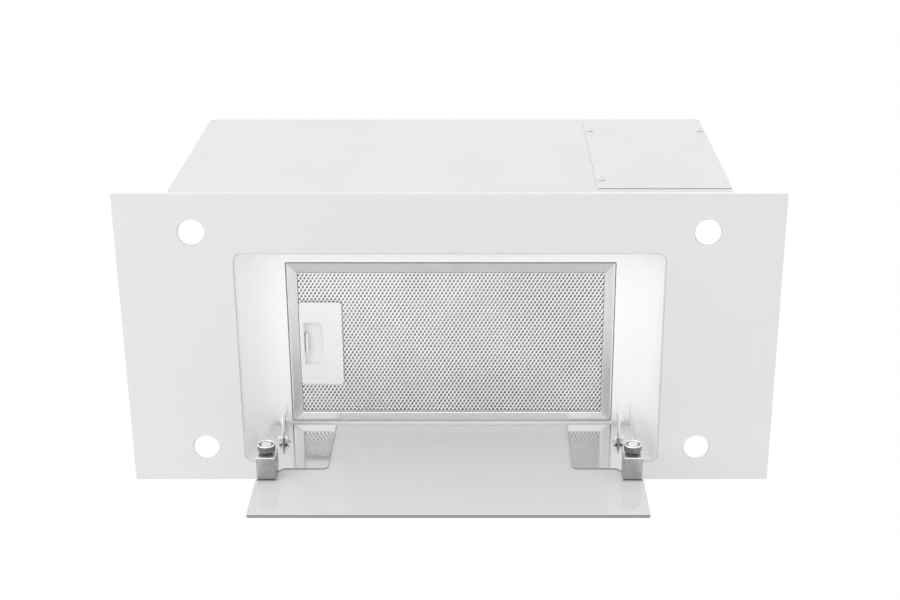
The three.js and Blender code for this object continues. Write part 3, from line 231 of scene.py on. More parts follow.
@dataclass(frozen=True)
class Finish:
    """One material: a base colour, its gloss, and the texture that breaks it up."""

    name: str
    slot: str
    colour: tuple[float, float, float]
    roughness: float
    surface: Surface = Surface.GRAIN
    metallic: float = 0.0
    scale: float = 900.0
    depth: float = 0.00002
    variation: float = 0.04
    stretch: tuple[float, float, float] = (1.0, 1.0, 1.0)
    glow: float = 0.0
    # Edge wear together with a painted highlight on convex edges.
    wear_and_sheen_amount: float = 0.0

    def _pattern(self, wiring: Wiring) -> bpy.types.NodeSocket:
        """Adds the texture that suits the surface.

        Args:
            wiring: the material's nodes.

        Returns:
            A number from 0 to 1.
        """
        if self.surface is Surface.BRUSHED:
            inputs = {"Stretch": self.stretch, "Scale": self.scale}
            return wiring.group(brush_lines(), inputs)
        if self.surface is Surface.PLATED:
            return wiring.group(crystal_cells(), {"Scale": self.scale})
        return wiring.group(fine_grain(), {"Scale": self.scale})

    def _shades(self, wiring: Wiring, share: object, bright: object) -> bpy.types.NodeSocket:
        """Mixes the base colour.

        Args:
            wiring: the material's nodes.
            share: where this is high, the colour is darker.
            bright: where this is high, it is lighter.

        Returns:
            The colour.
        """
        dark = tuple(c * (1 - self.variation) for c in self.colour) + (1.0,)
        inputs = {0: share, 6: self.colour + (1.0,), 7: dark}
        mixed = wiring.add("ShaderNodeMix", inputs, data_type="RGBA").outputs[2]
        light = tuple(min(1.0, c + WEAR_AND_SHEEN_LIGHTER * (1 - c)) for c in self.colour) + (1.0,)
        inputs = {0: bright, 6: mixed, 7: light}
        return wiring.add("ShaderNodeMix", inputs, data_type="RGBA").outputs[2]

    def build(self) -> bpy.types.Material:
        """Makes the material, or finds it if it was made before.

        Returns:
            The Blender material.
        """
        found = bpy.data.materials.get(self.name)
        if found:
            return found
        material = bpy.data.materials.new(self.name)
        material.use_nodes = True
        wiring = Wiring(material.node_tree)
        shader = material.node_tree.nodes["Principled BSDF"]
        shader.inputs["Metallic"].default_value = self.metallic
        pattern = self._pattern(wiring)
        marks = wiring.group(handling_marks(), {"Contrast": 1.0})
        # Edge wear and a painted highlight on the most convex edges.
        wear_and_sheen = wiring.group(edge_wear_and_sheen(), {"Amount": self.wear_and_sheen_amount})
        share = wiring.math("MULTIPLY", wiring.math("ADD", pattern, marks), 0.5)
        colour = self._shades(wiring, share, wear_and_sheen)
        wiring.tree.links.new(colour, shader.inputs["Base Color"])
        gloss = wiring.math("MULTIPLY_ADD", share, self.roughness * GLOSS_SPREAD)
        gloss.node.inputs[2].default_value = self.roughness * GLOSS_FLOOR
        wiring.tree.links.new(gloss, shader.inputs["Roughness"])
        if self.surface is not Surface.SMOOTH:
            inputs = {"Height": pattern, "Distance": self.depth, "Strength": BUMP_STRENGTH}
            bump = wiring.add("ShaderNodeBump", inputs).outputs[0]
            wiring.tree.links.new(bump, shader.inputs["Normal"])
        if self.glow:
            wiring.tree.links.new(colour, shader.inputs["Emission Color"])
            shader.inputs["Emission Strength"].default_value = self.glow
        return material


ALONG_X = (0.015, 1.0, 1.0)
ALONG_Y = (1.0, 0.015, 1.0)
ALONG_Z = (1.0, 1.0, 0.015)
WHITE_GLASS = Finish("white_lacquered_glass", "white_glass", (0.70, 0.70, 0.70), 0.04, Surface.SMOOTH,
                     variation=0.012)
# Two copies of one glass edge: light on the plate as painted light, dark grey on the flap as painted
# shade standing for refraction.
PLATE_EDGE_PAINTED_LIGHT = Finish("glass_edge_painted_light", "white_glass", (0.84, 0.845, 0.84), 0.12, Surface.SMOOTH)
FLAP_EDGE_PAINTED_SHADE = Finish("glass_edge_painted_shade", "white_glass", (0.26, 0.262, 0.262), 0.1, Surface.SMOOTH,
                   variation=0.1)
ENAMEL = Finish("white_powder_coat", "white_enamel", (0.675, 0.675, 0.675), 0.4, variation=0.015,
                depth=0.000008)
# The tray's enamel glows faintly: painted light that brightens the recess, though the tray is no lamp.
TRAY_ENAMEL_PAINTED_GLOW = Finish("tray_powder_coat_painted_glow", "white_enamel", (0.95, 0.95, 0.948), 0.35, variation=0.012,
                     depth=0.000006, glow=0.015)
SCREW_PAINT = Finish("painted_screw", "white_enamel", (0.76, 0.76, 0.76), 0.3, variation=0.02,
                     depth=0.000004)
HINGE_PAINT = Finish("painted_hinge_leaf", "zinc_steel", (0.95, 0.95, 0.948), 0.35, variation=0.012,
                     depth=0.000004)
FRAME_SIDE = Finish("rolled_aluminium_side", "aluminium", (0.76, 0.76, 0.76), 0.34, Surface.BRUSHED,
                    1.0, variation=0.12, stretch=ALONG_Y, depth=0.000008, wear_and_sheen_amount=0.3)
# The front bar is painted darker and the back bar lighter than the side bars: painted shade and painted
# light on one rolled aluminium.
FRAME_FRONT_PAINTED_SHADE = replace(FRAME_SIDE, name="rolled_aluminium_front_painted_shade", colour=(0.58, 0.58, 0.58),
                      stretch=ALONG_X)
FRAME_BACK_PAINTED_LIGHT = replace(FRAME_FRONT_PAINTED_SHADE, name="rolled_aluminium_back_painted_light", colour=(0.95, 0.95, 0.95),
                     variation=0.08)
# A brighter copy of the frame's aluminium for the bars' bend and lip strips: a painted highlight.
HIGHLIGHT_ALUMINIUM = Finish("aluminium_painted_highlight", "aluminium", (0.97, 0.97, 0.97), 0.34, Surface.SMOOTH, 1.0,
                   variation=0.02)
MESH = Finish("expanded_aluminium", "aluminium", (0.95, 0.95, 0.95), 0.34, Surface.GRAIN, 1.0,
              scale=1800.0, variation=0.12)
FOIL = Finish("crimped_foil", "aluminium", (0.52, 0.525, 0.525), 0.3, Surface.GRAIN, 1.0, scale=700.0,
              variation=0.25)
LAMP_METAL = Finish("cast_aluminium", "aluminium", (0.66, 0.67, 0.67), 0.45, Surface.GRAIN, 1.0,
                    variation=0.12)
POLISHED = Finish("polished_steel", "polished_steel", (0.84, 0.84, 0.84), 0.03, Surface.SMOOTH, 1.0,
                  variation=0.02)
# Darkened steel for the magnet blocks: its darkness is a painted reflection of dark surroundings.
SATIN_STEEL_PAINTED_DARK = Finish("satin_steel_painted_dark_reflection", "brushed_steel", (0.44, 0.44, 0.44), 0.22, Surface.BRUSHED, 1.0,
               variation=0.14, stretch=ALONG_Z, depth=0.000008, wear_and_sheen_amount=0.6)
SHEARED = Finish("sheared_steel", "polished_steel", (0.42, 0.42, 0.42), 0.3, Surface.BRUSHED, 1.0,
                 stretch=ALONG_X, depth=0.000004)
# Near-black nickel for the magnets' cups: the darkness is a painted reflection of dark surroundings.
NICKEL_PAINTED_DARK_REFLECTION = Finish("nickel_cup_painted_dark_reflection", "polished_steel", (0.20, 0.20, 0.202), 0.08, Surface.SMOOTH, 1.0)
ZINC = Finish("zinc_plate", "zinc_steel", (0.95, 0.95, 0.95), 0.38, Surface.PLATED, 1.0,
              scale=900.0, variation=0.04, depth=0.000002, wear_and_sheen_amount=0.2)
GALVANISED = Finish("galvanised_sheet", "zinc_steel", (0.60, 0.62, 0.63), 0.4, Surface.PLATED, 1.0,
                    scale=110.0, variation=0.2, depth=0.000006)
WHITE_PLASTIC = Finish("white_moulding", "white_plastic", (0.85, 0.85, 0.847), 0.42, variation=0.015,
                       depth=0.000008)
GREY_PLASTIC = Finish("grey_moulding", "grey_plastic", (0.15, 0.155, 0.16), 0.5, variation=0.15,
                      scale=1400.0)
BLACK_PLASTIC = Finish("black_moulding", "black_plastic", (0.022, 0.022, 0.024), 0.45, variation=0.3,
                       scale=1400.0, wear_and_sheen_amount=0.15)
LAMP_LENS = Finish("opal_lens", "lamp_lens", (0.90, 0.90, 0.897), 0.3, Surface.SMOOTH, glow=0.14,
                   variation=0.01)
BOARD = Finish("circuit_board", "board_green", (0.03, 0.13, 0.06), 0.4, Surface.GRAIN, scale=600.0,
               variation=0.4)


# ---- outlines
def arc(x: float, y: float, radius: float, start: float, end: float, steps: int) -> Loop:
    """Points on an arc, both ends included.

    Args:
        x: centre, first coordinate.
        y: centre, second coordinate.
        radius: the arc's radius.
        start: first angle in degrees.
        end: last angle in degrees.
        steps: how many stretches the arc has.

    Returns:
        The points in order.
    """
    angles = [math.radians(start + (end - start) * i / steps) for i in range(steps + 1)]
    return [(x + radius * math.cos(a), y + radius * math.sin(a)) for a in angles]


def rounded(x0: float, x1: float, y0: float, y1: float, radius: float, steps: int = 6) -> Loop:
    """A rounded rectangle, counter-clockwise.

    Args:
        x0: its left side.
        x1: its right side.
        y0: its near side.
        y1: its far side.
        radius: its corners' radius.
        steps: stretches in each corner.

    Returns:
        The points in order.
    """
    corners = [(x1, y0, -90), (x1, y1, 0), (x0, y1, 90), (x0, y0, 180)]
    points: Loop = []
    for x, y, start in corners:
        cx = x + (radius if x == x0 else -radius)
        cy = y + (radius if y == y0 else -radius)
        points += arc(cx, cy, radius, start, start + 90, steps)
    return points


def circle(x: float, y: float, radius: float, steps: int = 48) -> Loop:
    """A circle, counter-clockwise."""
    return arc(x, y, radius, 0, 360, steps)[:-1]


def inset(loop: Loop, distance: float) -> Loop:
    """Moves a loop towards the material, which lies on the left of its direction.

    Args:
        loop: the points.
        distance: how far each side moves.

    Returns:
        The moved points.
    """
    moved = []
    for before, here, after in zip(loop[-1:] + loop[:-1], loop, loop[1:] + loop[:1], strict=True):
        into = Vector(here) - Vector(before)
        out = Vector(after) - Vector(here)
        first = Vector((-into.y, into.x)).normalized()
        second = Vector((-out.y, out.x)).normalized()
        lean = (first + second) * distance / max(0.4, 1 + first.dot(second))
        moved.append((here[0] + lean.x, here[1] + lean.y))
    return moved


def upright(x: float, y: float, z: float) -> Vector:
    """An outline in XY, pushed along Z."""
    return Vector((x, y, z))


def facing_y(u: float, v: float, w: float) -> Vector:
    """An outline in XZ, pushed along Y."""
    return Vector((u, w, v))


def about_x(centre: Vector) -> Place:
    """Places a turned profile round an axis along X."""
    return lambda u, v, w: Vector((w, centre.y + u, centre.z + v))


def about_y(centre: Vector) -> Place:
    """Places a turned profile round an axis along Y."""
    return lambda u, v, w: Vector((centre.x + u, w, centre.z + v))


def about_z(centre: Vector) -> Place:
    """Places a turned profile round an axis along Z."""
    return lambda u, v, w: Vector((centre.x + u, centre.y + v, w))


def around(middle: float, half: float) -> Flat:
    """A range that reaches half to each side of its middle."""
    return middle - half, middle + half


def quarter(steps: int) -> list[float]:
    """Angles in even steps over a quarter turn, both ends included."""
    return [math.radians(90 * i / steps) for i in range(steps + 1)]


def rounding(edge: float, steps: int) -> Loop:
    """A rounded edge, as pairs of distance in from the side and rise from the face."""
    return [(edge * (1 - math.sin(t)), edge * (1 - math.cos(t))) for t in quarter(steps)]


def span(node: str) -> tuple[Vector, Vector, Vector]:
    """A CAD node's lowest corner, highest corner and middle."""
    low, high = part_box(node)
    return low, high, (low + high) / 2


def within(gap: tuple[Flat, Flat] | None, x: float, y: float) -> bool:
    """True if a place lies inside the X and Y ranges of a gap."""
    return bool(gap) and gap[0][0] < x < gap[0][1] and gap[1][0] < y < gap[1][1]


# ---- mesh building
class Shell:
    """Gathers closed shells and turns them into one piece."""

    def __init__(self) -> None:
        """Starts with no points and no faces."""
        self.points: list[Vector] = []
        self.faces: list[tuple[int, ...]] = []
        self.slots: list[int] = []

    def face(self, corners: Iterable[int], slot: int = 0) -> None:
        """Adds one face by its point numbers."""
        self.faces.append(tuple(corners))
        self.slots.append(slot)

    def ring(self, points: Iterable[Vector]) -> list[int]:
        """Adds a ring of points and returns their numbers."""
        start = len(self.points)
        self.points.extend(points)
        return list(range(start, len(self.points)))

    def bridge(self, low: list[int], high: list[int], slot: int = 0) -> None:
        """Joins two rings with the same number of points by a band of quads.

        Args:
            low: point numbers of the first ring.
            high: point numbers of the second.
            slot: the quads' material number.
        """
        for i, (a, d) in enumerate(zip(low, high, strict=True)):
            j = (i + 1) % len(low)
            self.face((a, low[j], high[j], d), slot)

    def bands(self, rings: Iterable[Iterable[Vector]], slot: int = 0) -> list[list[int]]:
        """Bands of quads through rings of points, open at both ends.

        Args:
            rings: the rings in order.
            slot: the quads' material number.

        Returns:
            The rings' point numbers.
        """
        numbers = [self.ring(points) for points in rings]
        for low, high in zip(numbers, numbers[1:], strict=False):
            self.bridge(low, high, slot)
        return numbers

    def loft(self, rings: Sequence[Ring], slot: int = 0, tube: bool = False) -> None:
        """A closed body through rings of points.

        Args:
            rings: the rings in order.
            slot: its material number.
            tube: True if the last ring meets the first; otherwise both ends are capped.
        """
        numbers = self.bands(rings, slot)
        if tube:
            self.bridge(numbers[-1], numbers[0], slot)
            return
        self.face(reversed(numbers[0]), slot)
        self.face(numbers[-1], slot)

    def plate(self, loops: Sequence[Loop], low: float, high: float, place: Place = upright,
              edge: float = 0.0003, steps: int = 2, sides: int = 0) -> None:
        """A flat plate with holes and rounded edges.

        Args:
            loops: the outline counter-clockwise, then each hole clockwise.
            low: where the plate starts along its normal.
            high: where it ends.
            place: turns outline coordinates into a point.
            edge: radius of its edges.
            steps: stretches in each rounded edge.
            sides: material number of its straight sides.
        """
        stations = [(back, low + rise) for back, rise in rounding(edge, steps)]
        stations += [(back, low + high - z) for back, z in reversed(stations)]
        ends: tuple[list[int], list[int]] = ([], [])
        for loop in loops:
            rings = [self.ring(place(u, v, w) for u, v in inset(loop, back)) for back, w in stations]
            for i, (below, above) in enumerate(zip(rings, rings[1:], strict=False)):
                self.bridge(below, above, sides if i == steps else 0)
            ends[0].extend(rings[0])
            ends[1].extend(rings[-1])
        inner = [inset(loop, edge) for loop in loops]
        flat = tessellate_polygon([[Vector((u, v, 0)) for u, v in loop] for loop in inner])
        for corners in flat:
            for end in ends:
                self.face(end[i] for i in corners)

    def turned(self, profile: Sequence[Flat], place: Place, steps: int = 48, closed: bool = True,
               shape: Callable[[float, float, float], float] | None = None) -> None:
        """A body turned about the w axis of place.

        Args:
            profile: pairs of radius and height.
            place: turns u, v, w into a point, with the axis at u = v = 0.
            steps: points in each ring.
            closed: True if the profile meets itself, as a tube's does.
            shape: changes the radius at an angle and a height.
        """
        rings = []
        for radius, height in profile:
            ring = []
            for i in range(steps):
                angle = TURN * i / steps
                reach = shape(radius, angle, height) if shape else radius
                ring.append(place(reach * math.cos(angle), reach * math.sin(angle), height))
            rings.append(ring)
        self.loft(rings, tube=closed)

    def piece(self, name: str, body: str, finishes: Sequence[Finish], stands_for: Sequence[str] = (),
              crease: float = CREASE) -> bpy.types.Object:
        """Makes the Blender object, shades it and tells the frame about it.

        Args:
            name: the piece's name.
            body: the CAD body that it rides on.
            finishes: its materials, by face slot.
            stands_for: the CAD nodes that it replaces.
            crease: faces that meet at more than this many degrees keep a sharp edge.

        Returns:
            The object.
        """
        mesh = bpy.data.meshes.new(name)
        mesh.from_pydata(self.points, [], self.faces)
        mesh.polygons.foreach_set("material_index", self.slots)
        work = bmesh.new()
        work.from_mesh(mesh)
        bmesh.ops.remove_doubles(work, verts=work.verts, dist=SAME_SPOT)
        return finish_piece(name, work, mesh, body, finishes, stands_for, crease)


class TwoFacedSheet(Shell):
    """A sheet made of point pairs, one point on each face, with its free sides closed last."""

    def __init__(self) -> None:
        """Starts with no pairs."""
        super().__init__()
        self.pairs: dict[tuple[int, int], tuple[int, int]] = {}
        self.borders: dict[frozenset, tuple | None] = {}

    def new_pair(self, x: float, y: float, middle: float, half: float) -> tuple[int, int]:
        """Adds a point half above the middle and one half below it."""
        upper, lower = self.ring([Vector((x, y, middle + half)), Vector((x, y, middle - half))])
        return upper, lower

    def pair(self, x: float, y: float, middle: float, half: float) -> tuple[int, int]:
        """The pair of points at a place, added the first time that it is asked for.

        Args:
            x: the place's first coordinate.
            y: its second coordinate.
            middle: the height half-way between the faces.
            half: the distance from there to each face.

        Returns:
            The upper and the lower point's number.
        """
        key = (round(x * KEYS_PER_METRE), round(y * KEYS_PER_METRE))
        if key not in self.pairs:
            self.pairs[key] = self.new_pair(x, y, middle, half)
        return self.pairs[key]

    def side(self, first: tuple[int, int], second: tuple[int, int]) -> None:
        """Notes one side of a cell; a side noted twice lies inside the sheet."""
        key = frozenset((first[0], second[0]))
        self.borders[key] = None if key in self.borders else (first, second)

    def close_sides(self) -> None:
        """Closes each side that only one cell has."""
        for (a, c), (b, d) in filter(None, self.borders.values()):
            self.face((b, a, c, d))


def finish_piece(name: str, work: bmesh.types.BMesh, mesh: bpy.types.Mesh, body: str,
                 finishes: Sequence[Finish], stands_for: Sequence[str],
                 crease: float) -> bpy.types.Object:
    """Closes a bmesh into an object that rides on its body.

    Args:
        name: the piece's name.
        work: its faces, which this frees.
        mesh: the mesh that takes them.
        body: the CAD body that it rides on.
        finishes: its materials.
        stands_for: the CAD nodes that it replaces.
        crease: the smallest sharp angle in degrees.

    Returns:
        The object.
    """
    if len(work.faces) < LARGE_MESH:
        bmesh.ops.dissolve_limit(work, angle_limit=math.radians(SAME_PLANE), verts=work.verts,
                                 edges=work.edges, delimit={"MATERIAL"})
    bmesh.ops.recalc_face_normals(work, faces=work.faces)
    for face in work.faces:
        face.smooth = True
    for line in work.edges:
        line.smooth = line.calc_face_angle(0.0) < math.radians(crease)
    work.to_mesh(mesh)
    work.free()
    for each in finishes:
        mesh.materials.append(each.build())
    made = bpy.data.objects.new(name, mesh)
    bpy.context.scene.collection.objects.link(made)
    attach(made, body)
    if stands_for:
        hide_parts(*stands_for)
    if len(mesh.polygons) < LARGE_MESH:
        even = made.modifiers.new("even_flats", "WEIGHTED_NORMAL")
        even.keep_sharp = True
        even.weight = 100
    LOG.info("%s: %d faces on %s", name, len(mesh.polygons), body)
    return made


def softened(node: str, finish: Finish, width: float = 0.0002, crease: float = CREASE,
             other: Finish | None = None,
             is_other: Callable[[Vector], bool] | None = None) -> bpy.types.Object:
    """A CAD solid with its sharp edges rounded over.

    Args:
        node: the CAD node, which it replaces.
        finish: its material.
        width: how far each rounding reaches.
        crease: edges sharper than this many degrees are rounded.
        other: a second material.
        is_other: tells from a face's direction whether it takes the second material.

    Returns:
        The object.
    """
    source = frame["nodes"][node]
    work = bmesh.new()
    work.from_mesh(source.data)
    bmesh.ops.remove_doubles(work, verts=work.verts, dist=NEAR_SPOT)
    bmesh.ops.dissolve_limit(work, angle_limit=math.radians(NEARLY_FLAT), verts=work.verts,
                             edges=work.edges)
    sharp = [e for e in work.edges if e.is_manifold and e.calc_face_angle() > math.radians(crease)]
    bmesh.ops.bevel(work, geom=sharp, offset=width, segments=2, profile=0.5, affect="EDGES")
    for face in work.faces:
        face.material_index = int(bool(is_other and is_other(face.normal)))
    name = node + "_finished"
    mesh = bpy.data.meshes.new(name)
    finishes = [finish, other] if other else [finish]
    return finish_piece(name, work, mesh, source["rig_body"], finishes, [node], crease)


def carve(piece: bpy.types.Object, *boxes: tuple[Flat, Flat, Flat]) -> None:
    """Cuts boxes out of a piece.

    Args:
        piece: the object to cut.
        boxes: the X, Y and Z ranges of each box.
    """
    cutter = Shell()
    for (x0, x1), (y0, y1), (z0, z1) in boxes:
        cutter.plate([[(x0, y0), (x1, y0), (x1, y1), (x0, y1)]], z0, z1, edge=0.0, steps=1)
    mesh = bpy.data.meshes.new("cutter")
    mesh.from_pydata(cutter.points, [], cutter.faces)
    work = bmesh.new()
    work.from_mesh(mesh)
    bmesh.ops.recalc_face_normals(work, faces=work.faces)
    work.to_mesh(mesh)
    work.free()
    tool = bpy.data.objects.new("cutter", mesh)
    bpy.context.scene.collection.objects.link(tool)
    knife = piece.modifiers.new("cut", "BOOLEAN")
    knife.operation = "DIFFERENCE"
    knife.solver = "EXACT"
    knife.object = tool
    bpy.context.view_layer.update()
    shaped = piece.evaluated_get(bpy.context.evaluated_depsgraph_get())
    piece.data = bpy.data.meshes.new_from_object(shaped)
    piece.modifiers.remove(knife)
    bpy.data.objects.remove(tool)


# ---- fascia
LAMP_NAMES = ("front_left", "front_right", "back_left", "back_right")
HOOK_PLACE = 0.045


@dataclass
class Fascia:
    """The glass plate with its window and lamp holes, and the lamps in it."""

    corner: float = 0.002
    window_corner: float = 0.008
    arris: float = 0.0006
    lip: float = 0.006
    lens_gap: float = 0.0003
    dome: float = 0.0008
    dome_shares: tuple[float, ...] = (0.2, 0.4, 0.6, 0.8, 0.92)
    dome_edge: float = 1.3

    def window(self) -> tuple[Flat, Flat]:
        """The glass plate's opening, from the tray's lip, as X and Y ranges."""
        low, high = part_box("filter_tray")
        return (low.x + self.lip, high.x - self.lip), (low.y + self.lip, high.y - self.lip)

    def glass(self) -> None:
        """Builds the glass plate."""
        low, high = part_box("glass_plate")
        (x0, x1), (y0, y1) = self.window()
        loops = [rounded(low.x, high.x, low.y, high.y, self.corner)]
        loops.append(rounded(x0, x1, y0, y1, self.window_corner, 12)[::-1])
        for lens in LAMP_NAMES:
            near, far, middle = span(f"lamp_lens_{lens}")
            loops.append(circle(middle.x, middle.y, (far.x - near.x) / 2 + self.lens_gap)[::-1])
        shell = Shell()
        shell.plate(loops, low.z, high.z, edge=self.arris, steps=3, sides=1)
        shell.piece("fascia_glass", "hood", [WHITE_GLASS, PLATE_EDGE_PAINTED_LIGHT], ["glass_plate"])

    def lamp(self, corner: str) -> None:
        """Builds one lamp's opal lens and dresses its body.

        Args:
            corner: the lamp's place in the plate.
        """
        low, high, centre = span(f"lamp_lens_{corner}")
        radius = (high.x - low.x) / 2
        profile = [(0.0, low.z)]
        profile += [(radius * share, low.z + self.dome * share**2) for share in self.dome_shares]
        profile += [(radius, low.z + self.dome * self.dome_edge), (radius, high.z), (0.0, high.z)]
        shell = Shell()
        shell.turned(profile, about_z(centre), closed=False)
        shell.piece(f"lens_{corner}", "hood", [LAMP_LENS], [f"lamp_lens_{corner}"])
        softened(f"lamp_body_{corner}", LAMP_METAL)

    def build(self) -> None:
        """Builds the plate, its frame and the lamps."""
        self.glass()
        softened("mounting_frame", GALVANISED)
        for corner in LAMP_NAMES:
            self.lamp(corner)


# ---- housing
@dataclass
class Housing:
    """The folded steel box, its top panel, and the electronics cover with its screws."""

    bend: float = 0.0005
    cover_bend: float = 0.0003
    head_rise: float = 0.0018
    shank: float = 0.0016
    recess_long: float = 0.62
    recess_half: float = 0.0004
    recess_depth: float = 0.0011

    def shell(self) -> None:
        """Rounds the housing's folded edges over and dresses its panels."""
        softened("housing_shell", ENAMEL, self.bend)
        softened("top_panel", ENAMEL, self.bend)
        # The cover's cut edges take the brighter, glowing tray enamel: a painted highlight along its
        # outline.
        softened("electronics_cover", ENAMEL, self.cover_bend, other=TRAY_ENAMEL_PAINTED_GLOW,
                 is_other=is_sheared)

    def screw(self, node: str) -> None:
        """Builds a pan-head screw with a cross recess.

        Args:
            node: the CAD screw.
        """
        low, high, centre = span(node)
        radius = (high.x - low.x) / 2
        rim = low.y + self.head_rise
        cap = [(radius * math.sin(t), rim - self.head_rise * math.cos(t)) for t in quarter(6)]
        profile = [(0.0, low.y), *cap[1:], (radius, rim)]
        profile += [(self.shank, rim), (self.shank, high.y), (0.0, high.y)]
        shell = Shell()
        shell.turned(profile, about_y(centre), 32, False)
        made = shell.piece(node + "_finished", "hood", [SCREW_PAINT], [node])
        depth = (low.y - 0.001, low.y + self.recess_depth)
        arm, half = radius * self.recess_long, self.recess_half
        for x, z in ((arm, half), (half, arm)):
            carve(made, (around(centre.x, x), depth, around(centre.z, z)))

    def build(self) -> None:
        """Builds the housing and its screws."""
        self.shell()
        for number in (1, 2, 3):
            self.screw(f"cover_screw_{number}")


# ---- tray
@dataclass
class Tray:
    """The pressed white tray: rim, coved walls, flat ledge and the filter's window."""

    sheet: float = 0.0012
    rim_gap: float = 0.0001
    rim_rise: float = 0.001
    cove_start: float = 0.0023
    cove_steps: int = 24
    ledge_least: float = 0.0035
    window_radius: float = 0.0015
    corner: float = 0.008
    seat_lip: float = 0.005
    rim_shade: float = 0.0004
    fit: float = 0.0005
    fillet: float = 0.0004
    lip_drop: float = 0.0008
    corner_steps: int = 12
    slot_z: Flat = (0.0023, 0.0061)
    latch_half: float = 0.008
    hook_half: float = 0.007
    slot_reach: Flat = (0.004, 0.002)

    def build(self) -> None:
        """Builds the tray as one closed sheet."""
        low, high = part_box("filter_tray")
        (x0, x1), (y0, y1) = Fascia().window()
        near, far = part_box("filter_frame")
        glass_low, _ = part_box("glass_plate")
        ledge = near.z
        rim = self.rim_gap + self.sheet
        left, front, back = near.x - self.fit, near.y - self.fit, far.y + self.fit
        reach = min(left - x0, front - y0, y1 - back) - self.ledge_least - rim + self.fit
        bottom = glass_low.z + self.rim_rise
        top = high.z - self.sheet

        def level(inside: float, z: float, radius: float) -> Ring:
            """A ring that stands a distance inside the glass's opening."""
            sides = (x0 + inside, x1 - inside, y0 + inside, y1 - inside)
            loop = rounded(*sides, max(radius, self.fit), self.corner_steps)
            return [Vector((x, y, z)) for x, y in loop]

        def hole(spread: float, z: float) -> Ring:
            """A ring round the filter's window."""
            sides = (left - spread, -left + spread, front - spread, back + spread)
            loop = rounded(*sides, self.window_radius, self.corner_steps)
            return [Vector((x, y, z)) for x, y in loop]

        def cove(grow: float) -> list[Ring]:
            """The curved wall, on the face grow away from the shown one."""
            rise = ledge - self.cove_start + grow
            rings = []
            for turn in quarter(self.cove_steps):
                in_by = reach * (1 - math.cos(turn))
                radius = self.corner - rim + in_by / 2 + grow
                inside = rim + in_by - grow * math.cos(turn)
                rings.append(level(inside, self.cove_start + rise * math.sin(turn), radius))
            return rings

        corner = self.corner - rim
        rings = [level(rim, bottom + 0.0003, corner)]
        rings += cove(0.0)
        rings += [hole(self.fillet, ledge), hole(0.0, ledge + self.fillet), hole(0.0, top)]
        rings += [hole(-self.seat_lip, top), hole(-self.seat_lip, high.z), hole(self.sheet, high.z)]
        rings += [hole(self.sheet, ledge + self.sheet)]
        rings += reversed(cove(self.sheet))
        lip_low = low.x - x0
        lip_top = self.cove_start - self.lip_drop
        outer = corner + self.sheet
        rings += [level(self.rim_gap, lip_top, outer)]
        rings += [level(lip_low, height, corner - lip_low) for height in (lip_top, self.rim_gap)]
        rings += [level(self.rim_gap, self.rim_gap, outer), level(self.rim_gap, bottom, outer)]
        rings += [level(self.rim_gap + self.sheet / 2, bottom, corner + self.sheet / 2)]
        shell = Shell()
        shell.loft(rings, tube=True)
        for number, corners in enumerate(shell.faces):
            shell.slots[number] = int(max(shell.points[i].z for i in corners) < bottom + self.rim_shade)
        made = shell.piece("tray", "hood", [TRAY_ENAMEL_PAINTED_GLOW, ENAMEL], ["filter_tray"], crease=40)
        middle = (near.y + far.y) / 2
        height = (ledge + self.slot_z[0], ledge + self.slot_z[1])
        out, into = self.slot_reach
        slots = [((left - out, left + into), around(middle, self.latch_half), height)]
        for end in (-1, 1):
            place = around(middle + end * HOOK_PLACE, self.hook_half)
            slots.append(((-left - into, -left + out), place, height))
        carve(made, *slots)


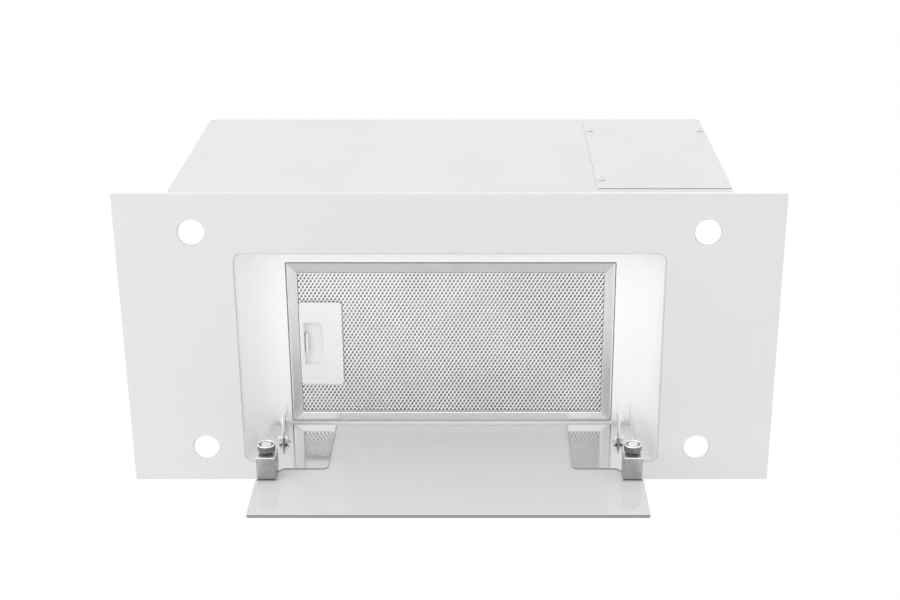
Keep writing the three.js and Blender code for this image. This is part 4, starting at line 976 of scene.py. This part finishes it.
# ---- grease filter
@dataclass
class GreaseFilter:
    """The removable filter: mitred frame, two expanded sheets, a crimped core, handle and latch."""

    bar: float = 0.010
    sheet: float = 0.001
    bend: float = 0.0019
    chamfer: float = 0.0008
    # Section strips that take the painted highlight.
    highlight_strips: tuple[int, ...] = (0, 3, 4, 5)
    mitre_gap: float = 0.00008
    pitch_x: float = 0.0037
    pitch_y: float = 0.0030
    hole_long: float = 0.80
    hole_wide: float = 0.52
    crown: float = 0.00028
    lean: float = 0.00024
    hole_lean: float = 0.4
    hook_half: float = 0.006
    hook_z: Flat = (0.0033, 0.0047)
    latch_half: float = 0.0075
    latch_z: Flat = (0.0028, 0.0052)
    foil_step: float = 0.0016
    foil_depth: float = 0.0011
    foil_waves: Flat = (0.0083, 0.0067)
    foil_skew: float = 1.3
    foil_grain: float = 420.0
    foil_mix: tuple[float, float, float] = (0.5, 0.32, 0.4)

    def section(self) -> Loop:
        """The bar's C-shaped section: distance from the outer edge, and height."""
        height = self.height
        r, s, w = self.bend, self.sheet, self.bar
        lip = self.chamfer
        outer = [(w, lip), (w - lip, 0.0)]
        outer += arc(r, r, r, 270, 180, 5)
        outer += arc(r, height - r, r, 180, 90, 5)
        outer += [(w - lip, height), (w, height - lip), (w, height - s)]
        inner = arc(r, height - r, r - s, 90, 180, 3) + arc(r, r, r - s, 180, 270, 3)
        return outer + inner + [(w, s)]

    def __post_init__(self) -> None:
        """Reads the filter's place from the frame."""
        self.low, self.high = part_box("filter_frame")
        self.height = self.high.z - self.low.z

    def frame(self) -> None:
        """Builds the four mitred bars with the hooks and the latch's slot."""
        x0, x1, y0, y1 = self.low.x, -self.low.x, self.low.y, self.high.y
        corners = [Vector((x0, y0)), Vector((x1, y0)), Vector((x1, y1)), Vector((x0, y1))]
        shell = Shell()
        for side, start in enumerate(corners):
            end = corners[(side + 1) % 4]
            along = (end - start).normalized()
            inward = Vector((-along.y, along.x))
            length = (end - start).length
            rings = []
            for share in (0, 1):
                ring = []
                for depth, rise in self.section():
                    run = depth + self.mitre_gap
                    run = length - run if share else run
                    spot = start + along * run + inward * depth
                    ring.append(Vector((spot.x, spot.y, self.low.z + rise)))
                rings.append(ring)
            first = len(shell.faces)
            shell.loft(rings, side if side < 3 else 1)
            # The side and back bars' bend and lip strips get the painted highlight; the front bar's
            # keep its painted shade.
            for strip in self.highlight_strips:
                shell.slots[first + strip] = 3 if side else 0
        middle = (y0 + y1) / 2
        base = self.low.z
        for end in (-1, 1):
            y = middle + end * HOOK_PLACE
            hook = rounded(x1 - 0.0006, self.high.x, *around(y, self.hook_half), 0.001)
            shell.plate([hook], base + self.hook_z[0], base + self.hook_z[1])
        # Front bar in painted shade, back bar in painted light, side bars plain.
        made = shell.piece("filter_frame_bars", "filter",
                           [FRAME_FRONT_PAINTED_SHADE, FRAME_SIDE, FRAME_BACK_PAINTED_LIGHT, HIGHLIGHT_ALUMINIUM], ["filter_frame"])
        carve(made, ((x0 - 0.001, x0 + 0.0012), around(middle, self.latch_half),
                     (base + self.latch_z[0], base + self.latch_z[1])))

    def build(self) -> None:
        """Builds every piece of the filter."""
        self.frame()
        handle = Handle()
        cup = handle.pocket_box(0.0016)
        self.expanded("mesh_front", cup)
        self.expanded("mesh_back", None)
        self.core(cup)
        handle.build()

    def expanded(self, name: str, gap: tuple | None) -> None:
        """Builds an expanded sheet with real staggered holes.

        Args:
            name: the piece's name, which its CAD sheet's name ends with.
            gap: X and Y ranges that stay free of it.
        """
        low, high, centre = span(f"filter_{name}")
        tall, short = self.pitch_y * 2 / 3, self.pitch_y / 3
        half = self.pitch_x / 2
        spokes = [(0, tall), (-half, short), (-half, -short), (0, -tall), (half, -short), (half, short)]
        slant = Vector((half, -self.pitch_y)).normalized()
        corners = []
        for spoke in spokes:
            run = slant * slant.dot(Vector(spoke))
            corners.append(run * self.hole_long + (Vector(spoke) - run) * self.hole_wide)
        thick = (high.z - low.z) / 2 - self.lean
        sheet = TwoFacedSheet()
        rows = int((high.y - low.y) / self.pitch_y)
        columns = int((high.x - low.x) / self.pitch_x)
        start_x = (low.x + high.x - (columns - 1) * self.pitch_x) / 2
        start_y = (low.y + high.y - (rows - 1) * self.pitch_y) / 2
        for row in range(rows):
            shift = half / 2 if row % 2 else -half / 2
            for column in range(columns):
                x = start_x + column * self.pitch_x + shift
                y = start_y + row * self.pitch_y
                if within(gap, x, y):
                    continue
                rim, edge = [], []
                for number, (dx, dy) in enumerate(spokes):
                    lift = self.lean if number % 2 == 0 else -self.lean
                    rim.append(sheet.pair(x + dx, y + dy, centre.z + lift, thick))
                    hole = corners[number]
                    edge.append(sheet.new_pair(x + hole.x, y + hole.y, centre.z + lift * self.hole_lean,
                                               thick - self.crown))
                for i in range(6):
                    j = (i + 1) % 6
                    sheet.face((rim[i][0], rim[j][0], edge[j][0], edge[i][0]))
                    sheet.face((rim[j][1], rim[i][1], edge[i][1], edge[j][1]))
                    sheet.face((edge[i][0], edge[j][0], edge[j][1], edge[i][1]))
                    sheet.side(rim[i], rim[j])
        sheet.close_sides()
        sheet.piece(name, "filter", [MESH], [f"filter_{name}"], crease=25)

    def core(self, gap: tuple) -> None:
        """Builds the crimped foil pack between the sheets.

        Args:
            gap: X and Y ranges that the handle's cup fills.
        """
        low, high, centre = span("filter_core")
        columns = int((high.x - low.x) / self.foil_step)
        rows = int((high.y - low.y) / self.foil_step)
        half = (high.z - low.z) / 2
        sheet = TwoFacedSheet()

        def spot(column: float, row: float) -> Flat:
            """A place on the grid, in X and Y."""
            return low.x + (high.x - low.x) * column / columns, low.y + (high.y - low.y) * row / rows

        def point(column: int, row: int) -> tuple[int, int]:
            """The crimped pair of points at one corner of the grid."""
            x, y = spot(column, row)
            wave = math.sin((x + y) * TURN / self.foil_waves[0])
            wave *= math.sin((x - self.foil_skew * y) * TURN / self.foil_waves[1])
            rough = noise.noise(Vector((x, y, 0.3)) * self.foil_grain)
            level, waved, roughened = self.foil_mix
            bump = self.foil_depth * (level + waved * wave + roughened * rough)
            return sheet.pair(x, y, centre.z, half - min(max(bump, 0.0), self.foil_depth))

        for row in range(rows):
            for column in range(columns):
                if within(gap, *spot(column + 0.5, row + 0.5)):
                    continue
                ends = [point(column + dx, row + dy) for dx, dy in ((0, 0), (1, 0), (1, 1), (0, 1))]
                sheet.face(top for top, _ in ends)
                sheet.face(base for _, base in reversed(ends))
                for i in range(4):
                    sheet.side(ends[i], ends[(i + 1) % 4])
        sheet.close_sides()
        sheet.piece("foil_core", "filter", [FOIL], ["filter_core"], crease=50)


@dataclass
class Handle:
    """The filter's handle, a plate with a finger pocket, and its latch."""

    inset_x: float = 0.004
    pocket_wide: float = 0.018
    pocket_half: float = 0.0215
    round_end: float = 0.007
    plate: float = 0.0015
    wall: float = 0.0012
    edge: float = 0.0006
    corner: float = 0.003
    cup_bend: float = 0.0008
    latch_half: float = 0.0073
    latch_z: Flat = (0.003, 0.005)

    def __post_init__(self) -> None:
        """Reads the handle's place from the frame."""
        self.low, self.high, self.centre = span("filter_handle")

    def pocket_box(self, grow: float) -> tuple[Flat, Flat]:
        """The cup's X and Y ranges, grow larger all round."""
        x0 = self.low.x + self.inset_x
        wide = (x0 - grow, x0 + self.pocket_wide + grow)
        return wide, around(self.centre.y, self.pocket_half + grow)

    def pocket(self, back: float) -> Loop:
        """The pocket's D-shaped outline, moved in by back."""
        (x0, x1), (y0, y1) = self.pocket_box(0.0)
        end = self.round_end
        near = arc(x1 - end, y0 + end, end - back, -90, 0, 8)
        far = arc(x1 - end, y1 - end, end - back, 0, 90, 8)
        return [(x0 + back, y0 + back), *near, *far, (x0 + back, y1 - back)]

    def build(self) -> None:
        """Builds the handle and the latch."""
        low, high, wall = self.low, self.high, self.wall
        lip = rounding(self.edge, 5)
        shell = Shell()

        def rings(stations: Sequence[Flat]) -> list[Ring]:
            """The pocket's outline at each distance in and height."""
            return [[Vector((x, y, z)) for x, y in self.pocket(back)] for back, z in stations]

        stations = [(-back, low.z + rise) for back, rise in lip]
        stations += [(0.0, high.z - 2 * wall)]
        stations += [(back, high.z - wall - rise) for back, rise in rounding(wall, 5)[-2::-1]]
        inner = shell.bands(rings(stations))
        shell.face(inner[-1])
        bend, plate_top = self.cup_bend, low.z + self.plate
        cup = shell.bands(rings([(-wall, plate_top), (-wall, high.z - bend), (bend - wall, high.z)]))
        shell.face(cup[-1])
        outline = rounded(low.x, high.x, low.y, high.y, self.corner, 8)
        rim = [(back, low.z + rise) for back, rise in lip]
        rim += [(0.0, plate_top - 0.0003), (0.0003, plate_top)]
        sides = shell.bands([Vector((x, y, z)) for x, y in inset(outline, back)] for back, z in rim)
        for big, small in ((sides[0], inner[0]), (sides[-1], cup[0])):
            flat = [[Vector(shell.points[i]).xy.to_3d() for i in ring] for ring in (big, small[::-1])]
            numbers = big + small[::-1]
            for corners in tessellate_polygon(flat):
                shell.face(numbers[i] for i in corners)
        made = shell.piece("handle", "filter", [WHITE_PLASTIC], ["filter_handle"])
        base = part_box("filter_frame")[0].z
        carve(made, ((low.x - 0.002, low.x + self.inset_x + 0.001),
                     around(self.centre.y, self.latch_half),
                     (base + self.latch_z[0], base + self.latch_z[1])))
        softened("latch_slider", WHITE_PLASTIC)


# ---- flap and hinges
@dataclass
class Flap:
    """The hanging glass flap with its polished brackets, magnet blocks and clamp bolts."""

    corner: float = 0.002
    arris: float = 0.0006
    cup_lip: float = 0.0009
    block_edge: float = 0.0011
    cup_bend: float = 0.0012
    cup_floor: float = 0.0016
    neck: float = 0.56
    face: tuple[Flat, ...] = ((0.0, 0.0004), (0.55, 0.0004), (0.58, 0.0009), (0.78, 0.0009),
                              (0.82, 0.0002))

    def glass(self) -> None:
        """Builds the flap's glass."""
        low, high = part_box("flap_glass")
        shell = Shell()
        outline = rounded(low.x, high.x, low.z, high.z, self.corner)
        shell.plate([outline], low.y, high.y, facing_y, self.arris, 3, sides=1)
        shell.piece("flap_plate", "flap", [WHITE_GLASS, FLAP_EDGE_PAINTED_SHADE], ["flap_glass"])

    def magnet(self, side: str) -> None:
        """Builds a pot magnet: a neck, a chromed cup and the magnet's face.

        Args:
            side: left or right.
        """
        low, high, centre = span(f"pot_magnet_{side}")
        radius = (high.x - low.x) / 2
        front, back = low.y, high.y
        neck, floor = radius * self.neck, back - self.cup_floor
        profile = [(radius * share, front + depth) for share, depth in self.face]
        profile += [(radius - inside, front + rise) for inside, rise in rounding(self.cup_bend, 6)]
        profile += [(radius, floor - 0.0006), (radius - 0.0006, floor)]
        profile += [(neck, floor), (neck, back), (0.0, back)]
        shell = Shell()
        shell.turned(profile, about_y(centre), 64, False)
        # Past the lip the cup takes the dark nickel, a painted dark reflection; the face stays zinc.
        for number, corners in enumerate(shell.faces):
            depth = sum(shell.points[i].y for i in corners) / len(corners) - front
            shell.slots[number] = int(depth > self.cup_lip)
        shell.piece(f"magnet_{side}", "flap", [ZINC, NICKEL_PAINTED_DARK_REFLECTION], [f"pot_magnet_{side}"])

    def build(self) -> None:
        """Builds the flap and what is bolted to it."""
        self.glass()
        for side in ("left", "right"):
            softened(f"flap_bracket_{side}", POLISHED, other=SHEARED, is_other=is_sheared)
            # The blocks are painted dark as a reflection of dark surroundings; their front faces and
            # front edges take bright zinc as a painted highlight.
            softened(f"magnet_block_{side}", SATIN_STEEL_PAINTED_DARK, self.block_edge, other=ZINC,
                     is_other=faces_front)
            softened(f"hinge_arm_{side}", ZINC)
            softened(f"hinge_ear_{side}", HINGE_PAINT)
            self.magnet(side)
            threaded(f"clamp_bolt_{side}", "flap")
            threaded(f"pivot_bolt_{side}", "hood")
            nut(f"clamp_nut_{side}", "flap")
            nut(f"pivot_nut_{side}", "hood")


def is_sheared(normal: Vector) -> bool:
    """True for the cut edges of a sheet that stands across Y."""
    return abs(normal.y) < 0.5


def faces_front(normal: Vector) -> bool:
    """True for a face that looks towards the hood's front, rounded edges included."""
    return normal.y < -0.3


def hexagon(across: float, angle: float) -> float:
    """The distance from a hexagon's middle to its side.

    Args:
        across: the distance to its corners.
        angle: the direction in radians.

    Returns:
        The distance in that direction.
    """
    turn = (angle % (TURN / 6)) - TURN / 12
    return across * math.cos(TURN / 12) / math.cos(turn)


def threaded(node: str, body: str) -> None:
    """Builds a hex bolt along X with a real thread.

    Args:
        node: the CAD bolt.
        body: the body that it rides on.
    """
    low, high, centre = span(node)
    outward = 1 if centre.x > 0 else -1
    reach = (high.y - low.y) / 2
    shank, pitch, cut = 0.002, 0.0007, 0.0003
    head, corner, bevel = 0.0024, 0.0035, 0.0004
    length = high.x - low.x
    base = high.x if outward < 0 else low.x
    stretch = length - head
    count = int(stretch / (pitch / 8))
    profile = [(0.0, 0.0)] + [(shank, stretch * i / count) for i in range(count + 1)]
    profile += [(corner - bevel / 4, stretch), (corner, stretch + 0.0003)]
    profile += [(corner, length - 0.0005), (corner - bevel, length), (0.0, length)]

    def shape(radius: float, angle: float, height: float) -> float:
        """The thread on the shank and the hexagon on the head."""
        if radius > shank:
            return min(radius, hexagon(reach, angle))
        if radius < shank:
            return radius
        phase = (height / pitch + angle / TURN) % 1.0
        taper = min(1.0, height / pitch + 0.3)
        return (radius - cut * (1 - abs(2 * phase - 1))) * (0.8 + 0.2 * taper)

    def place(u: float, v: float, w: float) -> Vector:
        """A point beside the bolt's axis, w along it."""
        return Vector((base + outward * w, centre.y + u, centre.z + v))

    shell = Shell()
    shell.turned(profile, place, 36, False, shape)
    shell.piece(node + "_finished", body, [ZINC], [node])


def nut(node: str, body: str) -> None:
    """Builds a chamfered hex nut along X.

    Args:
        node: the CAD nut.
        body: the body that it rides on.
    """
    low, high, centre = span(node)
    bore, corner = 0.0022, (high.y - low.y) / 2
    near = [(bore, 0.0003), (bore + 0.0004, 0.0), (corner - 0.0005, 0.0), (corner, 0.0004)]
    profile = [(radius, low.x + rise) for radius, rise in near]
    profile += [(radius, high.x - rise) for radius, rise in reversed(near)]

    def shape(radius: float, angle: float, _: float) -> float:
        """Flats on the outside, round inside."""
        return radius if radius < corner * 0.8 else min(radius, hexagon(corner, angle))

    shell = Shell()
    shell.turned(profile, about_x(centre), 36, True, shape)
    shell.piece(node + "_finished", body, [ZINC], [node])


# ---- fan, outlet and electronics
class Inside:
    """The fan, outlet and electronics, from their CAD solids with rounded edges."""

    parts = {
        "scroll_half_left": GREY_PLASTIC,
        "scroll_half_right": GREY_PLASTIC,
        "impeller": BLACK_PLASTIC,
        "fan_motor": GALVANISED,
        "motor_bracket": GALVANISED,
        "outlet_collar": BLACK_PLASTIC,
        "damper_pin": ZINC,
        "damper_flap_front": BLACK_PLASTIC,
        "damper_flap_rear": BLACK_PLASTIC,
        "electronics_tray": WHITE_PLASTIC,
        "control_board": BOARD,
        "led_driver": BLACK_PLASTIC,
        "motor_capacitor": GREY_PLASTIC,
        "terminal_block": WHITE_PLASTIC,
        "relay": BLACK_PLASTIC,
        "cable_gland": GREY_PLASTIC,
    }

    def build(self) -> None:
        """Rounds and dresses each one."""
        for node, finish in self.parts.items():
            softened(node, finish)


# ---- studio
@dataclass
class Studio:
    """Pale floor, soft light and the camera below the hood's front."""

    floor_height: float = -3.2
    camera_place: tuple[float, float, float] = (0.029, -0.5649, -1.3118)
    camera_rise: float = 0.928
    camera_forward: float = 0.372
    lens: float = 62.0
    shift: float = -0.0356
    sky: float = 1.0
    fill: float = 1.1

    def floor(self) -> None:
        """Lays the floor."""
        half = 30.0
        mesh = bpy.data.meshes.new("floor")
        corners = [(-half, -half), (half, -half), (half, half), (-half, half)]
        mesh.from_pydata([(x, y, self.floor_height) for x, y in corners], [], [(0, 1, 2, 3)])
        made = bpy.data.objects.new("floor", mesh)
        bpy.context.scene.collection.objects.link(made)
        mesh.materials.append(Finish("pale_floor", "", (0.93, 0.93, 0.93), 0.7, variation=0.01).build())

    def light(self) -> None:
        """White surroundings, a little brighter as light than as background, and two soft panels."""
        world = bpy.data.worlds.new("studio")
        world.use_nodes = True
        bpy.context.scene.world = world
        wiring = Wiring(world.node_tree)
        backdrop = world.node_tree.nodes["Background"]
        backdrop.inputs["Color"].default_value = (1.0, 1.0, 1.0, 1.0)
        seen = wiring.add("ShaderNodeLightPath").outputs["Is Camera Ray"]
        level = wiring.math("MULTIPLY_ADD", seen, self.sky - self.fill)
        level.node.inputs[2].default_value = self.fill
        world.node_tree.links.new(level, backdrop.inputs["Strength"])
        self.panel("left_panel", (-1.5, -0.9, -1.2), 1.4, 8.0)
        self.panel("top_panel_light", (0.4, -1.0, 2.2), 2.0, 2.0)

    def panel(self, name: str, spot: tuple[float, float, float], size: float, power: float) -> None:
        """A soft square light aimed at the hood.

        Args:
            name: the light's name.
            spot: where it stands.
            size: its side.
            power: its power in watts.
        """
        data = bpy.data.lights.new(name, "AREA")
        data.size = size
        data.energy = power
        made = bpy.data.objects.new(name, data)
        made.location = spot
        made.rotation_mode = "QUATERNION"
        made.rotation_quaternion = (-Vector(spot)).to_track_quat("-Z", "Y")
        bpy.context.scene.collection.objects.link(made)

    def camera(self) -> None:
        """Sets the camera up."""
        data = bpy.data.cameras.new("camera")
        data.lens = self.lens
        data.sensor_width = 36.0
        data.shift_x = self.shift
        made = bpy.data.objects.new("camera", data)
        ahead = Vector((0, self.camera_forward, self.camera_rise)).normalized()
        up = Vector((0, -ahead.z, ahead.y))
        across = ahead.cross(up)
        turn = Matrix((across, up, -ahead)).transposed()
        made.matrix_world = Matrix.Translation(self.camera_place) @ turn.to_4x4()
        bpy.context.scene.collection.objects.link(made)
        bpy.context.scene.camera = made

    def build(self) -> None:
        """Builds the studio."""
        self.floor()
        self.light()
        self.camera()
        bpy.context.scene.view_settings.view_transform = "Standard"


def main() -> None:
    """Builds the studio and every sub-assembly in order."""
    logging.basicConfig(level=logging.INFO, format="%(name)s: %(message)s")
    Studio().build()
    for part in (Fascia(), Housing(), Tray(), GreaseFilter(), Flap(), Inside()):
        LOG.info("building %s", type(part).__name__)
        part.build()


if __name__ == "__main__":
    main()
